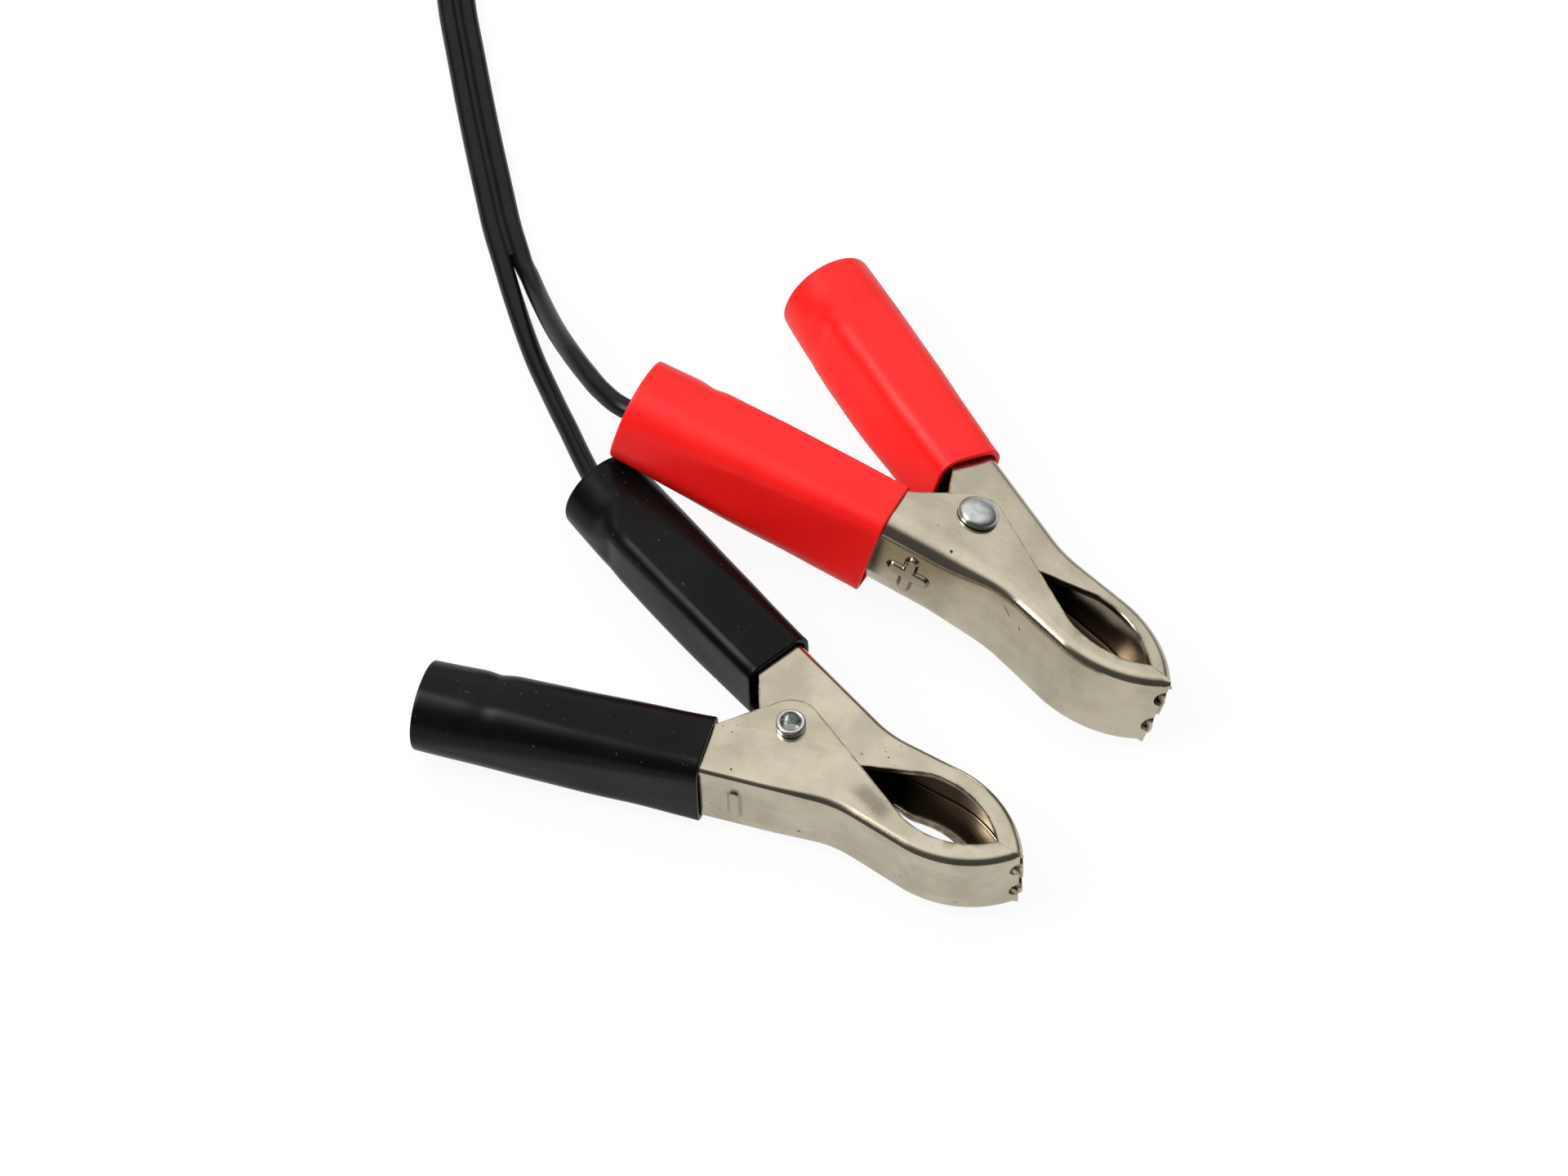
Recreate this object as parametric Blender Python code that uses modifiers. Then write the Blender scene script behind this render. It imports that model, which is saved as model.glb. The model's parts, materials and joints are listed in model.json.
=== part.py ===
"""A battery clip lead: two sprung crocodile clips on a twin lead that splits into two cores.

Each clip is modelled in a frame of its own, with the rivet's middle at the origin, X to the nose,
Y to the inner jaw's side and Z along the rivet. The empty that carries a clip lays it on the bench.
"""

import math

import bmesh
import bpy
from mathutils import Vector

MM = 0.001

# Jaw stampings, seen along the rivet
JAW_WIDTH = 11.2 * MM
SHEET = 0.9 * MM
BEND_RADIUS = 1.1 * MM
NEST_GAP = 0.25 * MM
NOSE_REACH = 33.7 * MM
NOSE_GAP = 0.3 * MM
LIP_LENGTH = 3.5 * MM
BROW_REACH = 21.0 * MM
BROW_HEIGHT = 7.15 * MM
WAIST_REACH = 10.5 * MM
WAIST_HEIGHT = 6.75 * MM
WAIST_EASE = 2.5 * MM
MOUTH_REACH = 19.5 * MM
MOUTH_HEIGHT = 3.1 * MM
MOUTH_CROWN = 1.85 * MM
EAR_RADIUS = 3.9 * MM
NOTCH_RADIUS = 1.1 * MM
NOTCH_SPREAD = 4.6 * MM

# Handles, measured back along the web from the waist and in from its outer face
HANDLE_ANGLE = math.radians(16.7)
HANDLE_RUN = 44.5 * MM
NECK_RUN = 17.0 * MM
NECK_HEIGHT = 7.4 * MM
TAIL_HEIGHT = 5.0 * MM
MARK_RUN = 13.5 * MM
MARK_LENGTH = 4.6 * MM
MARK_WIDTH = 1.2 * MM
MARK_RAISE = 0.35 * MM

# Soft sleeves
SLEEVE_FRONT = 0.3 * MM
SLEEVE_TAIL = 10.0 * MM
SLEEVE_WALL = 0.7 * MM
SLEEVE_FIT = 0.2 * MM
SLEEVE_SLACK = 1.2 * MM
SLEEVE_CORNER = 1.7 * MM
SLEEVE_KINK = 8.0 * MM
BLACK_TAIL_DIAMETER = 11.4 * MM
RED_TAIL_DIAMETER = 12.8 * MM

# Rivet and spring
SHANK_DIAMETER = 3.0 * MM
HEAD_DIAMETER = 5.2 * MM
HEAD_RAISE = 1.0 * MM
ROLL_DIAMETER = 3.8 * MM
ROLL_RAISE = 1.0 * MM
ROLL_BORE = 2.4 * MM
ROLL_DEPTH = 2.6 * MM
RIVET_PLAY = 0.15 * MM
SPRING_WIRE = 1.1 * MM
SPRING_TURNS = 2
SPRING_GAP = 0.5 * MM
SPRING_PLAY = 0.35 * MM
SPRING_LEG_RUN = 29.0 * MM

# Wiring inside the handles
SEAT_GAP = 0.3 * MM
FERRULE_DIAMETER = 3.0 * MM
FERRULE_LENGTH = 6.0 * MM
FERRULE_INSET = 12.5 * MM
STRAND_DIAMETER = 1.3 * MM
STRAND_PLAY = 0.2 * MM
STRAND_BARE = 2.0 * MM

# How the clips lie: rivet places on the bench, and roll, pitch and yaw
BLACK_RIVET = (6.28 * MM, -18.35 * MM)
BLACK_TURN = (0.6, -0.9, 5.4)
RED_RIVET = (5.13 * MM, 18.65 * MM)
RED_TURN = (-18.0, 4.6, -5.3)

# The lead: two cores side by side, which part at the split
CORE_DIAMETER = 2.7 * MM
CORE_WAIST = math.radians(30)
SPLIT_PLACE = (-74.5 * MM, 21.5 * MM)
SPLIT_HEADING = math.radians(144)
SPLIT_RUN_IN = 2.4 * MM

# Routes chosen by eye from the photograph, in millimetres on the bench, from the clips to the coil
BLACK_LEG_ROUTE = [(-43.6, 0.6, 6.0), (-49.3, 3.4, 4.4), (-55.0, 6.8, 3.0), (-60.5, 10.1, 2.1),
                   (-65.6, 13.5, 1.6), (-70.6, 17.0, 1.36)]
RED_LEG_ROUTE = [(-42.9, 3.3, 17.6), (-50.4, 7.2, 14.0), (-59.0, 12.7, 8.0), (-66.6, 17.9, 3.4),
                 (-71.0, 20.9, 1.6)]
TWIN_ROUTE = [(-83.2, 28.2, 1.36), (-92.3, 35.7, 1.36), (-101.3, 43.4, 1.36), (-110.5, 51.5, 1.36),
              (-116.0, 57.9, 1.36), (-120.2, 66.2, 1.4), (-122.6, 76.0, 1.6), (-123.5, 87.0, 1.9)]

# The length put away: a flat coil of two layers, held by a tie
COIL_START = (-124.4 * MM, 106.9 * MM)
COIL_HEADING = math.radians(94)
COIL_DIAMETER = 54.0 * MM
COIL_LOOPS = 1
COIL_TURNS = 2.4
COIL_GAP = 0.5 * MM
CURL_RADIUS = 12.0 * MM
CURL_RISE = 30.0 * MM
TIE_TURN = math.radians(36)
TIE_THICKNESS = 0.6 * MM
TIE_WIDTH = 5.0 * MM

# Two-pole connector, along X from the lead
BOOT_LENGTH = 14.0 * MM
BOOT_ROOM = 2.2 * MM
BODY_LENGTH = 20.0 * MM
BODY_WIDTH = 16.0 * MM
BODY_THICKNESS = 8.6 * MM
BODY_ROUND = 1.2 * MM
POLE_PITCH = 8.0 * MM
PIN_DIAMETER = 4.0 * MM
PIN_REACH = 11.0 * MM
PIN_ROOT = 5.0 * MM
PIN_ROUND = 0.65 * MM
SHROUD_DIAMETER = 7.6 * MM
SHROUD_REACH = 11.0 * MM
SOCKET_WALL = 0.5 * MM
SOCKET_LENGTH = 10.0 * MM
POLE_PLAY = 0.2 * MM

# Finishes: colour, roughness and metallic value
NICKEL = ((0.62, 0.58, 0.50), 0.30, 1.0)
ZINC = ((0.58, 0.61, 0.64), 0.28, 1.0)
SPRING_STEEL = ((0.40, 0.40, 0.41), 0.35, 1.0)
COPPER = ((0.72, 0.36, 0.20), 0.35, 1.0)
BRASS = ((0.72, 0.55, 0.27), 0.32, 1.0)
TIN = ((0.66, 0.66, 0.64), 0.40, 1.0)
RED_VINYL = ((0.78, 0.015, 0.012), 0.35, 0.0)
BLACK_VINYL = ((0.012, 0.012, 0.013), 0.30, 0.0)

# How finely curves are divided
ARC_STEPS = 10
EASE_STEPS = 4
EAR_STEPS = 8
COIL_STEPS = 24
CURL_STEPS = 6
SPRING_STEPS = 10

OUTER = -1
INNER = 1


def clear_scene():
    for thing in list(bpy.data.objects):
        bpy.data.objects.remove(thing, do_unlink=True)


def new_collection(name):
    collection = bpy.data.collections.new(name)
    bpy.context.scene.collection.children.link(collection)
    return collection


clear_scene()
PARTS = new_collection("battery_clip_lead")
CUTTERS = new_collection("cutters")


def finish_piece(piece, look, parent=None):
    """Give a piece its own material and put it with the parts, under its clip."""
    colour, roughness, metallic = look
    material = bpy.data.materials.new(piece.name + "_finish")
    material.use_nodes = True
    shader = material.node_tree.nodes["Principled BSDF"]
    shader.inputs["Base Color"].default_value = (*colour, 1.0)
    shader.inputs["Roughness"].default_value = roughness
    shader.inputs["Metallic"].default_value = metallic
    piece.data.materials.append(material)
    piece.parent = parent
    PARTS.objects.link(piece)
    return piece


def mesh_object(name, shape):
    """An object from a bmesh, which is used up."""
    mesh = bpy.data.meshes.new(name)
    shape.to_mesh(mesh)
    shape.free()
    return bpy.data.objects.new(name, mesh)


def as_cutter(piece, parent):
    piece.hide_render = True
    piece.display_type = "WIRE"
    piece.parent = parent
    CUTTERS.objects.link(piece)
    return piece


def combine(target, cutter, operation):
    step = target.modifiers.new(cutter.name, "BOOLEAN")
    step.object = cutter
    step.operation = operation
    step.solver = "EXACT"


def smooth(piece, angle=30):
    piece.data.shade_smooth()
    piece.data.set_sharp_from_angle(angle=math.radians(angle))


def flat_piece(name, outlines, width):
    """A flat outline, with any holes in it, extruded evenly to both sides of its plane."""
    curve = bpy.data.curves.new(name, "CURVE")
    curve.dimensions = "2D"
    curve.fill_mode = "BOTH"
    curve.extrude = width / 2
    for outline in outlines:
        spline = curve.splines.new("POLY")
        spline.points.add(len(outline) - 1)
        spline.use_cyclic_u = True
        for point, place in zip(spline.points, outline):
            point.co = (place[0], place[1], 0, 1)
    drawn = bpy.data.objects.new(name + "_outline", curve)
    bpy.context.scene.collection.objects.link(drawn)
    seen = drawn.evaluated_get(bpy.context.evaluated_depsgraph_get())
    shape = bmesh.new()
    shape.from_mesh(bpy.data.meshes.new_from_object(seen))
    bmesh.ops.remove_doubles(shape, verts=shape.verts, dist=1e-6)
    bmesh.ops.recalc_face_normals(shape, faces=shape.faces)
    bmesh.ops.dissolve_limit(shape, angle_limit=0.001, verts=shape.verts, edges=shape.edges)
    bpy.data.objects.remove(drawn, do_unlink=True)
    return mesh_object(name, shape)


def rod(name, diameter, length, sides=24):
    """A cylinder along Z, with its middle at the origin."""
    shape = bmesh.new()
    bmesh.ops.create_cone(shape, cap_ends=True, segments=sides, radius1=diameter / 2,
                          radius2=diameter / 2, depth=length)
    return mesh_object(name, shape)


def block(name, size):
    shape = bmesh.new()
    bmesh.ops.create_cube(shape, size=1)
    bmesh.ops.scale(shape, vec=size, verts=shape.verts)
    return mesh_object(name, shape)


def turned(name, profile, steps=24):
    """A profile of (radius, height) points, top to bottom, turned about Z."""
    mesh = bpy.data.meshes.new(name)
    edges = [(i, i + 1) for i in range(len(profile) - 1)]
    mesh.from_pydata([(radius, 0, height) for radius, height in profile], edges, [])
    piece = bpy.data.objects.new(name, mesh)
    screw = piece.modifiers.new("turn", "SCREW")
    screw.steps = steps
    screw.render_steps = steps
    screw.use_merge_vertices = True
    screw.merge_threshold = 1e-6
    return piece


def tube(name, points, diameter, resolution=2):
    """A round tube with closed ends along a row of points."""
    curve = bpy.data.curves.new(name, "CURVE")
    curve.dimensions = "3D"
    curve.bevel_depth = diameter / 2
    curve.bevel_resolution = resolution
    curve.use_fill_caps = True
    spline = curve.splines.new("POLY")
    spline.points.add(len(points) - 1)
    for point, place in zip(spline.points, points):
        point.co = (*place, 1)
    return bpy.data.objects.new(name, curve)


# Jaws
def crowned_arc(start, end, crown, steps):
    """An arc from start to end that rises by crown to the left of the chord, without its start."""
    start, end = Vector(start), Vector(end)
    chord = end - start
    left = Vector((-chord.y, chord.x)).normalized()
    radius = (chord.length ** 2 / 4 + crown ** 2) / (2 * crown)
    centre = (start + end) / 2 + left * (crown - radius)
    half = math.asin(chord.length / 2 / radius)
    middle = math.atan2(left.y, left.x)
    angles = [middle + half - 2 * half * i / steps for i in range(1, steps + 1)]
    return [centre + Vector((math.cos(a), math.sin(a))) * radius for a in angles]


def eased_corner(before, corner, after, steps):
    """A corner softened into a curve that leaves both its sides smoothly."""
    turns = [i / steps for i in range(steps + 1)]
    return [before * (1 - t) ** 2 + corner * 2 * t * (1 - t) + after * t ** 2 for t in turns]


def handle_point(run, depth):
    """A place on a handle: run back from the waist along the web, depth in from its outer face."""
    back = Vector((-math.cos(HANDLE_ANGLE), math.sin(HANDLE_ANGLE)))
    inward = Vector((-math.sin(HANDLE_ANGLE), -math.cos(HANDLE_ANGLE)))
    return Vector((WAIST_REACH, WAIST_HEIGHT)) + back * run + inward * depth


def cheek_height(run):
    """How far a handle's cheeks reach in from the web's outer face."""
    share = (run - NECK_RUN) / (HANDLE_RUN - NECK_RUN)
    return NECK_HEIGHT + (TAIL_HEIGHT - NECK_HEIGHT) * share


def web_path():
    """The web's outer line, from the end of the handle to the nose."""
    waist = Vector((WAIST_REACH, WAIST_HEIGHT))
    brow = Vector((BROW_REACH, BROW_HEIGHT))
    nose = Vector((NOSE_REACH, NOSE_GAP / 2))
    past_waist = waist + (brow - waist).normalized() * WAIST_EASE
    drop = nose - brow
    nose_half_turn = math.atan2(-drop.y, drop.x)
    crown = drop.length / 2 * math.tan(nose_half_turn / 2)
    path = [handle_point(HANDLE_RUN, 0)]
    path += eased_corner(handle_point(WAIST_EASE, 0), waist, past_waist, EASE_STEPS)
    path.append(brow)
    return path + crowned_arc(brow, nose, crown, ARC_STEPS)


def tangent_angle(place, radius, turn):
    """Where a line from a place touches a circle about the origin, as an angle."""
    return math.atan2(place.y, place.x) + turn * math.acos(radius / place.length)


def ear_path():
    """The round ear between the straight edge to the mouth and the neck of the handle."""
    mouth = Vector((MOUTH_REACH, MOUTH_HEIGHT))
    first = tangent_angle(mouth, EAR_RADIUS, -1)
    last = tangent_angle(handle_point(NECK_RUN, NECK_HEIGHT), EAR_RADIUS, 1) - 2 * math.pi
    angles = [first + (last - first) * i / EAR_STEPS for i in range(EAR_STEPS + 1)]
    return [Vector((math.cos(a), math.sin(a))) * EAR_RADIUS for a in angles]


def jaw_outline():
    """One jaw from the side, its web on the +Y side."""
    mouth = Vector((MOUTH_REACH, MOUTH_HEIGHT))
    lip = Vector((NOSE_REACH - LIP_LENGTH, NOSE_GAP / 2))
    path = web_path() + [lip]
    path += reversed(crowned_arc(mouth, lip, MOUTH_CROWN, ARC_STEPS)[:-1])
    path += [mouth] + ear_path()
    return path + [handle_point(NECK_RUN, NECK_HEIGHT), handle_point(HANDLE_RUN, TAIL_HEIGHT)]


def channel_outline():
    """What is taken out between the cheeks: everything inside the web."""
    path = web_path()
    ways = [(b - a).normalized() for a, b in zip(path, path[1:])]
    inner = []
    for place, before, after in zip(path, ways[:1] + ways, ways + ways[-1:]):
        across = Vector((before.y + after.y, -before.x - after.x)).normalized()
        inner.append(place + across * SHEET / across.dot(Vector((before.y, -before.x))))
    past = 4 * SHEET
    start = inner[0] - ways[0] * past
    end = inner[-1] + ways[-1] * past
    below = -EAR_RADIUS - past
    return [start] + inner + [end, Vector((end.x, below)), Vector((start.x, below))]


def on_side(outline, side):
    return [(place.x, place.y * side) for place in outline]


def mark_bends(piece, path, width):
    """Weight the two long outer edges beside the web, so that Bevel rounds them as the press did."""
    bend = {(round(x, 6), round(y, 6)) for x, y in path}
    mesh = piece.data
    weights = mesh.attributes.new("bevel_weight_edge", "FLOAT", "EDGE")
    for edge in mesh.edges:
        ends = [mesh.vertices[i].co for i in edge.vertices]
        on_bend = all((round(end.x, 6), round(end.y, 6)) in bend for end in ends)
        on_face = abs(ends[0].z - ends[1].z) < width / 2
        weights.data[edge.index].value = 1.0 if on_bend and on_face else 0.0
    bevel = piece.modifiers.new("bends", "BEVEL")
    bevel.limit_method = "WEIGHT"
    bevel.width = BEND_RADIUS
    bevel.use_clamp_overlap = False
    bevel.segments = 3


def inner_width():
    """The inner jaw's width: it turns between the outer jaw's cheeks."""
    return JAW_WIDTH - 2 * (SHEET + NEST_GAP)


def make_jaw(name, clip, side, width):
    jaw = flat_piece(name, [on_side(jaw_outline(), side)], width)
    mark_bends(jaw, on_side(web_path(), side), width)
    channel = flat_piece(name + "_channel", [on_side(channel_outline(), side)], width - 2 * SHEET)
    combine(jaw, as_cutter(channel, clip), "DIFFERENCE")
    hole = rod(name + "_hole", SHANK_DIAMETER + 2 * RIVET_PLAY, 2 * width)
    combine(jaw, as_cutter(hole, clip), "DIFFERENCE")
    before, tip = web_path()[-2:]
    square = Vector((before.y - tip.y, side * (tip.x - before.x), 0))
    for place in (-1, 1):
        notch = rod(name + "_notch", 2 * NOTCH_RADIUS, 6 * SHEET, sides=20)
        notch.rotation_euler = square.to_track_quat("Z", "Y").to_euler()
        notch.location = (tip.x, side * tip.y, place * NOTCH_SPREAD / 2)
        combine(jaw, as_cutter(notch, clip), "DIFFERENCE")
    smooth(jaw)
    return jaw


def raise_mark(jaw, clip, arms):
    """Raise a polarity mark on the back of an outer jaw: one arm across, or two crossed."""
    place = handle_point(MARK_RUN, 0)
    for number in range(arms):
        size = (MARK_WIDTH, 2 * MARK_RAISE, MARK_LENGTH)
        if number:
            size = (MARK_LENGTH, 2 * MARK_RAISE, MARK_WIDTH)
        arm = block(jaw.name + "_mark", size)
        arm.location = (place.x, -place.y, 0)
        arm.rotation_euler.z = HANDLE_ANGLE
        combine(jaw, as_cutter(arm, clip), "UNION")


# Sleeves
def sleeve_front_run():
    return NECK_RUN + SLEEVE_FRONT


def tail_depth():
    """How far in from the web's outer face the middle of the free tail lies."""
    return (TAIL_HEIGHT + SLEEVE_SLACK - SLEEVE_FIT) / 2


def sleeve_section(run, width, tail_diameter):
    """The sleeve's inside at one place: boxed in by the handle, and round on the free tail."""
    corner_steps = 5
    front = sleeve_front_run()
    share = (run - front) / (sleeve_end_run() - front)
    behind = min(1.0, max(0.0, (run - HANDLE_RUN - SHEET) / SLEEVE_KINK))
    behind = behind * behind * (3 - 2 * behind)
    radius = tail_diameter / 2 - SLEEVE_WALL
    front_half_depth = (cheek_height(front) + SLEEVE_SLACK + SLEEVE_FIT) / 2
    half_depth = front_half_depth + (radius - front_half_depth) * share
    half_width = (width / 2 + SLEEVE_FIT) * (1 - behind) + radius * behind
    middle = (front_half_depth - SLEEVE_FIT) * (1 - share) + tail_depth() * share
    rounding = SLEEVE_CORNER * (1 - behind) + min(half_depth, half_width) * behind
    section = []
    for corner in range(4):
        along, across = ((1, 1), (-1, 1), (-1, -1), (1, -1))[corner]
        for step in range(corner_steps):
            turn = math.pi / 2 * (corner + (step + 0.5 * behind) / (corner_steps - 1 + behind))
            section.append(Vector((middle + along * (half_depth - rounding) + rounding * math.cos(turn),
                                   across * (half_width - rounding) + rounding * math.sin(turn))))
    return section


def sleeve_end_run():
    return HANDLE_RUN + SLEEVE_TAIL


def make_sleeve(name, side, width, tail_diameter):
    """A soft tube pushed over a handle, lofted from the channel's section to a round free tail."""
    front = sleeve_front_run()
    tail_steps = 6
    runs = [front, (front + HANDLE_RUN) / 2, HANDLE_RUN + SHEET]
    tail = SLEEVE_TAIL - SHEET
    runs += [HANDLE_RUN + SHEET + tail * (i + 1) / tail_steps for i in range(tail_steps)]
    shape = bmesh.new()
    rings = []
    for run in runs:
        ring = []
        for depth, across in sleeve_section(run, width, tail_diameter):
            place = handle_point(run, depth)
            ring.append(shape.verts.new((place.x, side * place.y, across)))
        rings.append(ring)
    for ring, following in zip(rings, rings[1:]):
        for i in range(len(ring)):
            j = (i + 1) % len(ring)
            face = [ring[i], ring[j], following[j], following[i]]
            shape.faces.new(face if side == INNER else face[::-1])
    sleeve = mesh_object(name, shape)
    wall = sleeve.modifiers.new("wall", "SOLIDIFY")
    wall.thickness = SLEEVE_WALL
    wall.offset = 1
    wall.use_even_offset = True
    smooth(sleeve, 50)
    return sleeve


# Rivet and spring
def make_rivet(name):
    """A rivet with a domed head at the top and a hollow end, rolled over, at the bottom."""
    seat = JAW_WIDTH / 2 + RIVET_PLAY
    dome_steps = 4
    angles = [math.pi / 2 * i / dome_steps for i in range(dome_steps)]
    profile = [(HEAD_DIAMETER / 2 * math.sin(a), seat + HEAD_RAISE * math.cos(a)) for a in angles]
    profile += [(HEAD_DIAMETER / 2, seat), (SHANK_DIAMETER / 2, seat), (SHANK_DIAMETER / 2, -seat)]
    profile += [(ROLL_DIAMETER / 2, -seat), (ROLL_DIAMETER / 2, -seat - ROLL_RAISE)]
    profile += [(ROLL_BORE / 2, -seat - ROLL_RAISE), (ROLL_BORE / 2, -seat - ROLL_RAISE + ROLL_DEPTH)]
    profile.append((0, -seat - ROLL_RAISE + ROLL_DEPTH))
    return turned(name, profile)


def spring_points():
    """A torsion spring round the rivet, from its leg in the outer handle to that in the inner one."""
    radius = SHANK_DIAMETER / 2 + SPRING_PLAY + SPRING_WIRE / 2
    seat = SHEET + SEAT_GAP + SPRING_WIRE / 2
    foot = handle_point(SPRING_LEG_RUN, seat)
    last = tangent_angle(foot, radius, -1)
    sweep = 2 * last + 2 * math.pi * SPRING_TURNS
    steps = SPRING_STEPS * (SPRING_TURNS + 1)
    rise = (SPRING_WIRE + SPRING_GAP) * sweep / (2 * math.pi)
    points = [Vector((foot.x, -foot.y, -rise / 2))]
    for i in range(steps + 1):
        turn = -last + sweep * i / steps
        height = rise * (i / steps - 0.5)
        points.append(Vector((radius * math.cos(turn), radius * math.sin(turn), height)))
    points.append(Vector((foot.x, foot.y, rise / 2)))
    return points


# Wiring in a handle
def wire_depth():
    """How deep in its handle a core lies, on the web."""
    return SHEET + SEAT_GAP + FERRULE_DIAMETER / 2


def wire_place(run, side, depth=None):
    place = handle_point(run, wire_depth() if depth is None else depth)
    return Vector((place.x, side * place.y, 0))


def lay_along_handle(piece, run, side):
    """Put a piece that was made along Z on the core's line in a handle."""
    piece.location = wire_place(run, side)
    back = wire_place(run, side) - wire_place(0, side)
    piece.rotation_euler = back.to_track_quat("Z", "Y").to_euler()


def ferrule_run():
    """Where the ferrule's front end lies on a handle, counted from the handle's end."""
    return HANDLE_RUN - FERRULE_INSET


def make_ferrule(name, side):
    bore = STRAND_DIAMETER / 2 + STRAND_PLAY
    half = FERRULE_LENGTH / 2
    rim = FERRULE_DIAMETER / 2
    ferrule = turned(name, [(bore, half), (rim, half), (rim, -half), (bore, -half), (bore, half)])
    lay_along_handle(ferrule, ferrule_run() + half, side)
    return ferrule


def strand_end_run():
    return ferrule_run() + FERRULE_LENGTH + STRAND_BARE


def make_conductor(name, side):
    """The bare end of a core, from just ahead of the ferrule to the end of the insulation."""
    start = ferrule_run() - STRAND_BARE / 2
    conductor = rod(name, STRAND_DIAMETER, strand_end_run() - start, sides=12)
    lay_along_handle(conductor, (start + strand_end_run()) / 2, side)
    return conductor


def lay_on_bench(clip, pieces):
    """Lower a clip until its lowest piece meets the bench."""
    bpy.context.view_layer.update()
    graph = bpy.context.evaluated_depsgraph_get()
    lowest = math.inf
    for piece in pieces:
        seen = piece.evaluated_get(graph)
        mesh = seen.to_mesh()
        lowest = min(lowest, min((piece.matrix_world @ v.co).z for v in mesh.vertices))
        seen.to_mesh_clear()
    clip.location.z -= lowest


def make_clip(colour, look, tail_diameter, wired, mark_arms, head_up, rivet_place, turn):
    clip = bpy.data.objects.new(colour + "_clip", None)
    PARTS.objects.link(clip)
    clip.location = (*rivet_place, 0)
    clip.rotation_euler = [math.radians(angle) for angle in turn]
    pieces = []
    for label, side, width in (("outer", OUTER, JAW_WIDTH), ("inner", INNER, inner_width())):
        jaw = make_jaw(f"{colour}_{label}_jaw", clip, side, width)
        if side == OUTER:
            raise_mark(jaw, clip, mark_arms)
        pieces.append(finish_piece(jaw, NICKEL, clip))
        sleeve = make_sleeve(f"{colour}_{label}_grip", side, width, tail_diameter)
        pieces.append(finish_piece(sleeve, look, clip))
    rivet = finish_piece(make_rivet(colour + "_rivet"), ZINC, clip)
    rivet.rotation_euler.x = 0 if head_up else math.pi
    pieces.append(rivet)
    spring = tube(colour + "_spring", spring_points(), SPRING_WIRE, resolution=1)
    finish_piece(spring, SPRING_STEEL, clip)
    finish_piece(make_ferrule(colour + "_ferrule", wired), TIN, clip)
    finish_piece(make_conductor(colour + "_conductor", wired), COPPER, clip)
    lay_on_bench(clip, pieces)
    bpy.context.view_layer.update()
    return clip


black_clip = make_clip("black", BLACK_VINYL, BLACK_TAIL_DIAMETER, wired=INNER, mark_arms=1,
                       head_up=False, rivet_place=BLACK_RIVET, turn=BLACK_TURN)
red_clip = make_clip("red", RED_VINYL, RED_TAIL_DIAMETER, wired=OUTER, mark_arms=2,
                     head_up=True, rivet_place=RED_RIVET, turn=RED_TURN)


# Lead
def smooth_route(places, spacing):
    """Even points on a smooth curve through places, with both ends kept."""
    places = [Vector(place) for place in places]
    fine_steps = 16
    padded = [places[0] * 2 - places[1]] + places + [places[-1] * 2 - places[-2]]
    fine = []
    for before, start, end, after in zip(padded, padded[1:], padded[2:], padded[3:]):
        for i in range(fine_steps):
            t = i / fine_steps
            fine.append((start * 2 + (end - before) * t
                         + (before * 2 - start * 5 + end * 4 - after) * t ** 2
                         + (start * 3 - before - end * 3 + after) * t ** 3) / 2)
    fine.append(places[-1])
    total = sum((b - a).length for a, b in zip(fine, fine[1:]))
    count = max(2, round(total / spacing))
    points = [fine[0]]
    walked = 0.0
    for a, b in zip(fine, fine[1:]):
        step = (b - a).length
        while len(points) < count and walked + step >= total * len(points) / count:
            points.append(a.lerp(b, (total * len(points) / count - walked) / step))
        walked += step
    return points + [fine[-1]]


def on_bench(route):
    return [Vector(place) * MM for place in route]


def heading(angle):
    return Vector((math.cos(angle), math.sin(angle), 0))


def twin_profile():
    """The twin cord's section: two round cores joined at a narrow waist, as a hidden guide curve."""
    radius = CORE_DIAMETER / 2
    steps = 6
    curve = bpy.data.curves.new("twin_profile", "CURVE")
    curve.dimensions = "2D"
    spline = curve.splines.new("POLY")
    spline.points.add(2 * steps + 1)
    spline.use_cyclic_u = True
    turns = [CORE_WAIST + (2 * math.pi - 2 * CORE_WAIST) * i / steps for i in range(steps + 1)]
    left = [Vector((radius * math.cos(a) - radius, radius * math.sin(a))) for a in turns]
    outline = left + [-place for place in left]
    for point, place in zip(spline.points, reversed(outline)):
        point.co = (*place, 0, 1)
    guide = bpy.data.objects.new("twin_profile", curve)
    return as_cutter(guide, None)


def twin_tube(name, points, profile):
    """The twin cord along a row of points, lying flat."""
    cord = tube(name, points, CORE_DIAMETER)
    cord.data.bevel_mode = "OBJECT"
    cord.data.bevel_object = profile
    cord.data.twist_mode = "Z_UP"
    return cord


def make_leg(name, clip, side, route, core):
    """One core, from its bare end in the handle, out of the sleeve and down to the split."""
    inside = [(strand_end_run() + SEAT_GAP, wire_depth()), (HANDLE_RUN, wire_depth()),
              (sleeve_end_run(), tail_depth())]
    places = [clip.matrix_world @ wire_place(run, side, depth) for run, depth in inside]
    across = heading(SPLIT_HEADING - math.pi / 2) * core * CORE_DIAMETER / 2
    split = Vector((*SPLIT_PLACE, CORE_DIAMETER / 2)) + across
    away = heading(SPLIT_HEADING)
    places += on_bench(route) + [split - away * SPLIT_RUN_IN, split - away * SEAT_GAP]
    leg = tube(name, smooth_route(places, 2 * CORE_DIAMETER), CORE_DIAMETER)
    return finish_piece(leg, BLACK_VINYL)


def coil_radii():
    """The coil's outermost and innermost turn on its first layer, and the step from turn to turn."""
    step = 2 * CORE_DIAMETER + COIL_GAP
    half = COIL_LOOPS * step / 2
    return COIL_DIAMETER / 2 + half, COIL_DIAMETER / 2 - half, step


def coil_lift():
    """The height of the first layer's middle, over the tie that passes under it."""
    return TIE_THICKNESS + SEAT_GAP + CORE_DIAMETER / 2


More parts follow.
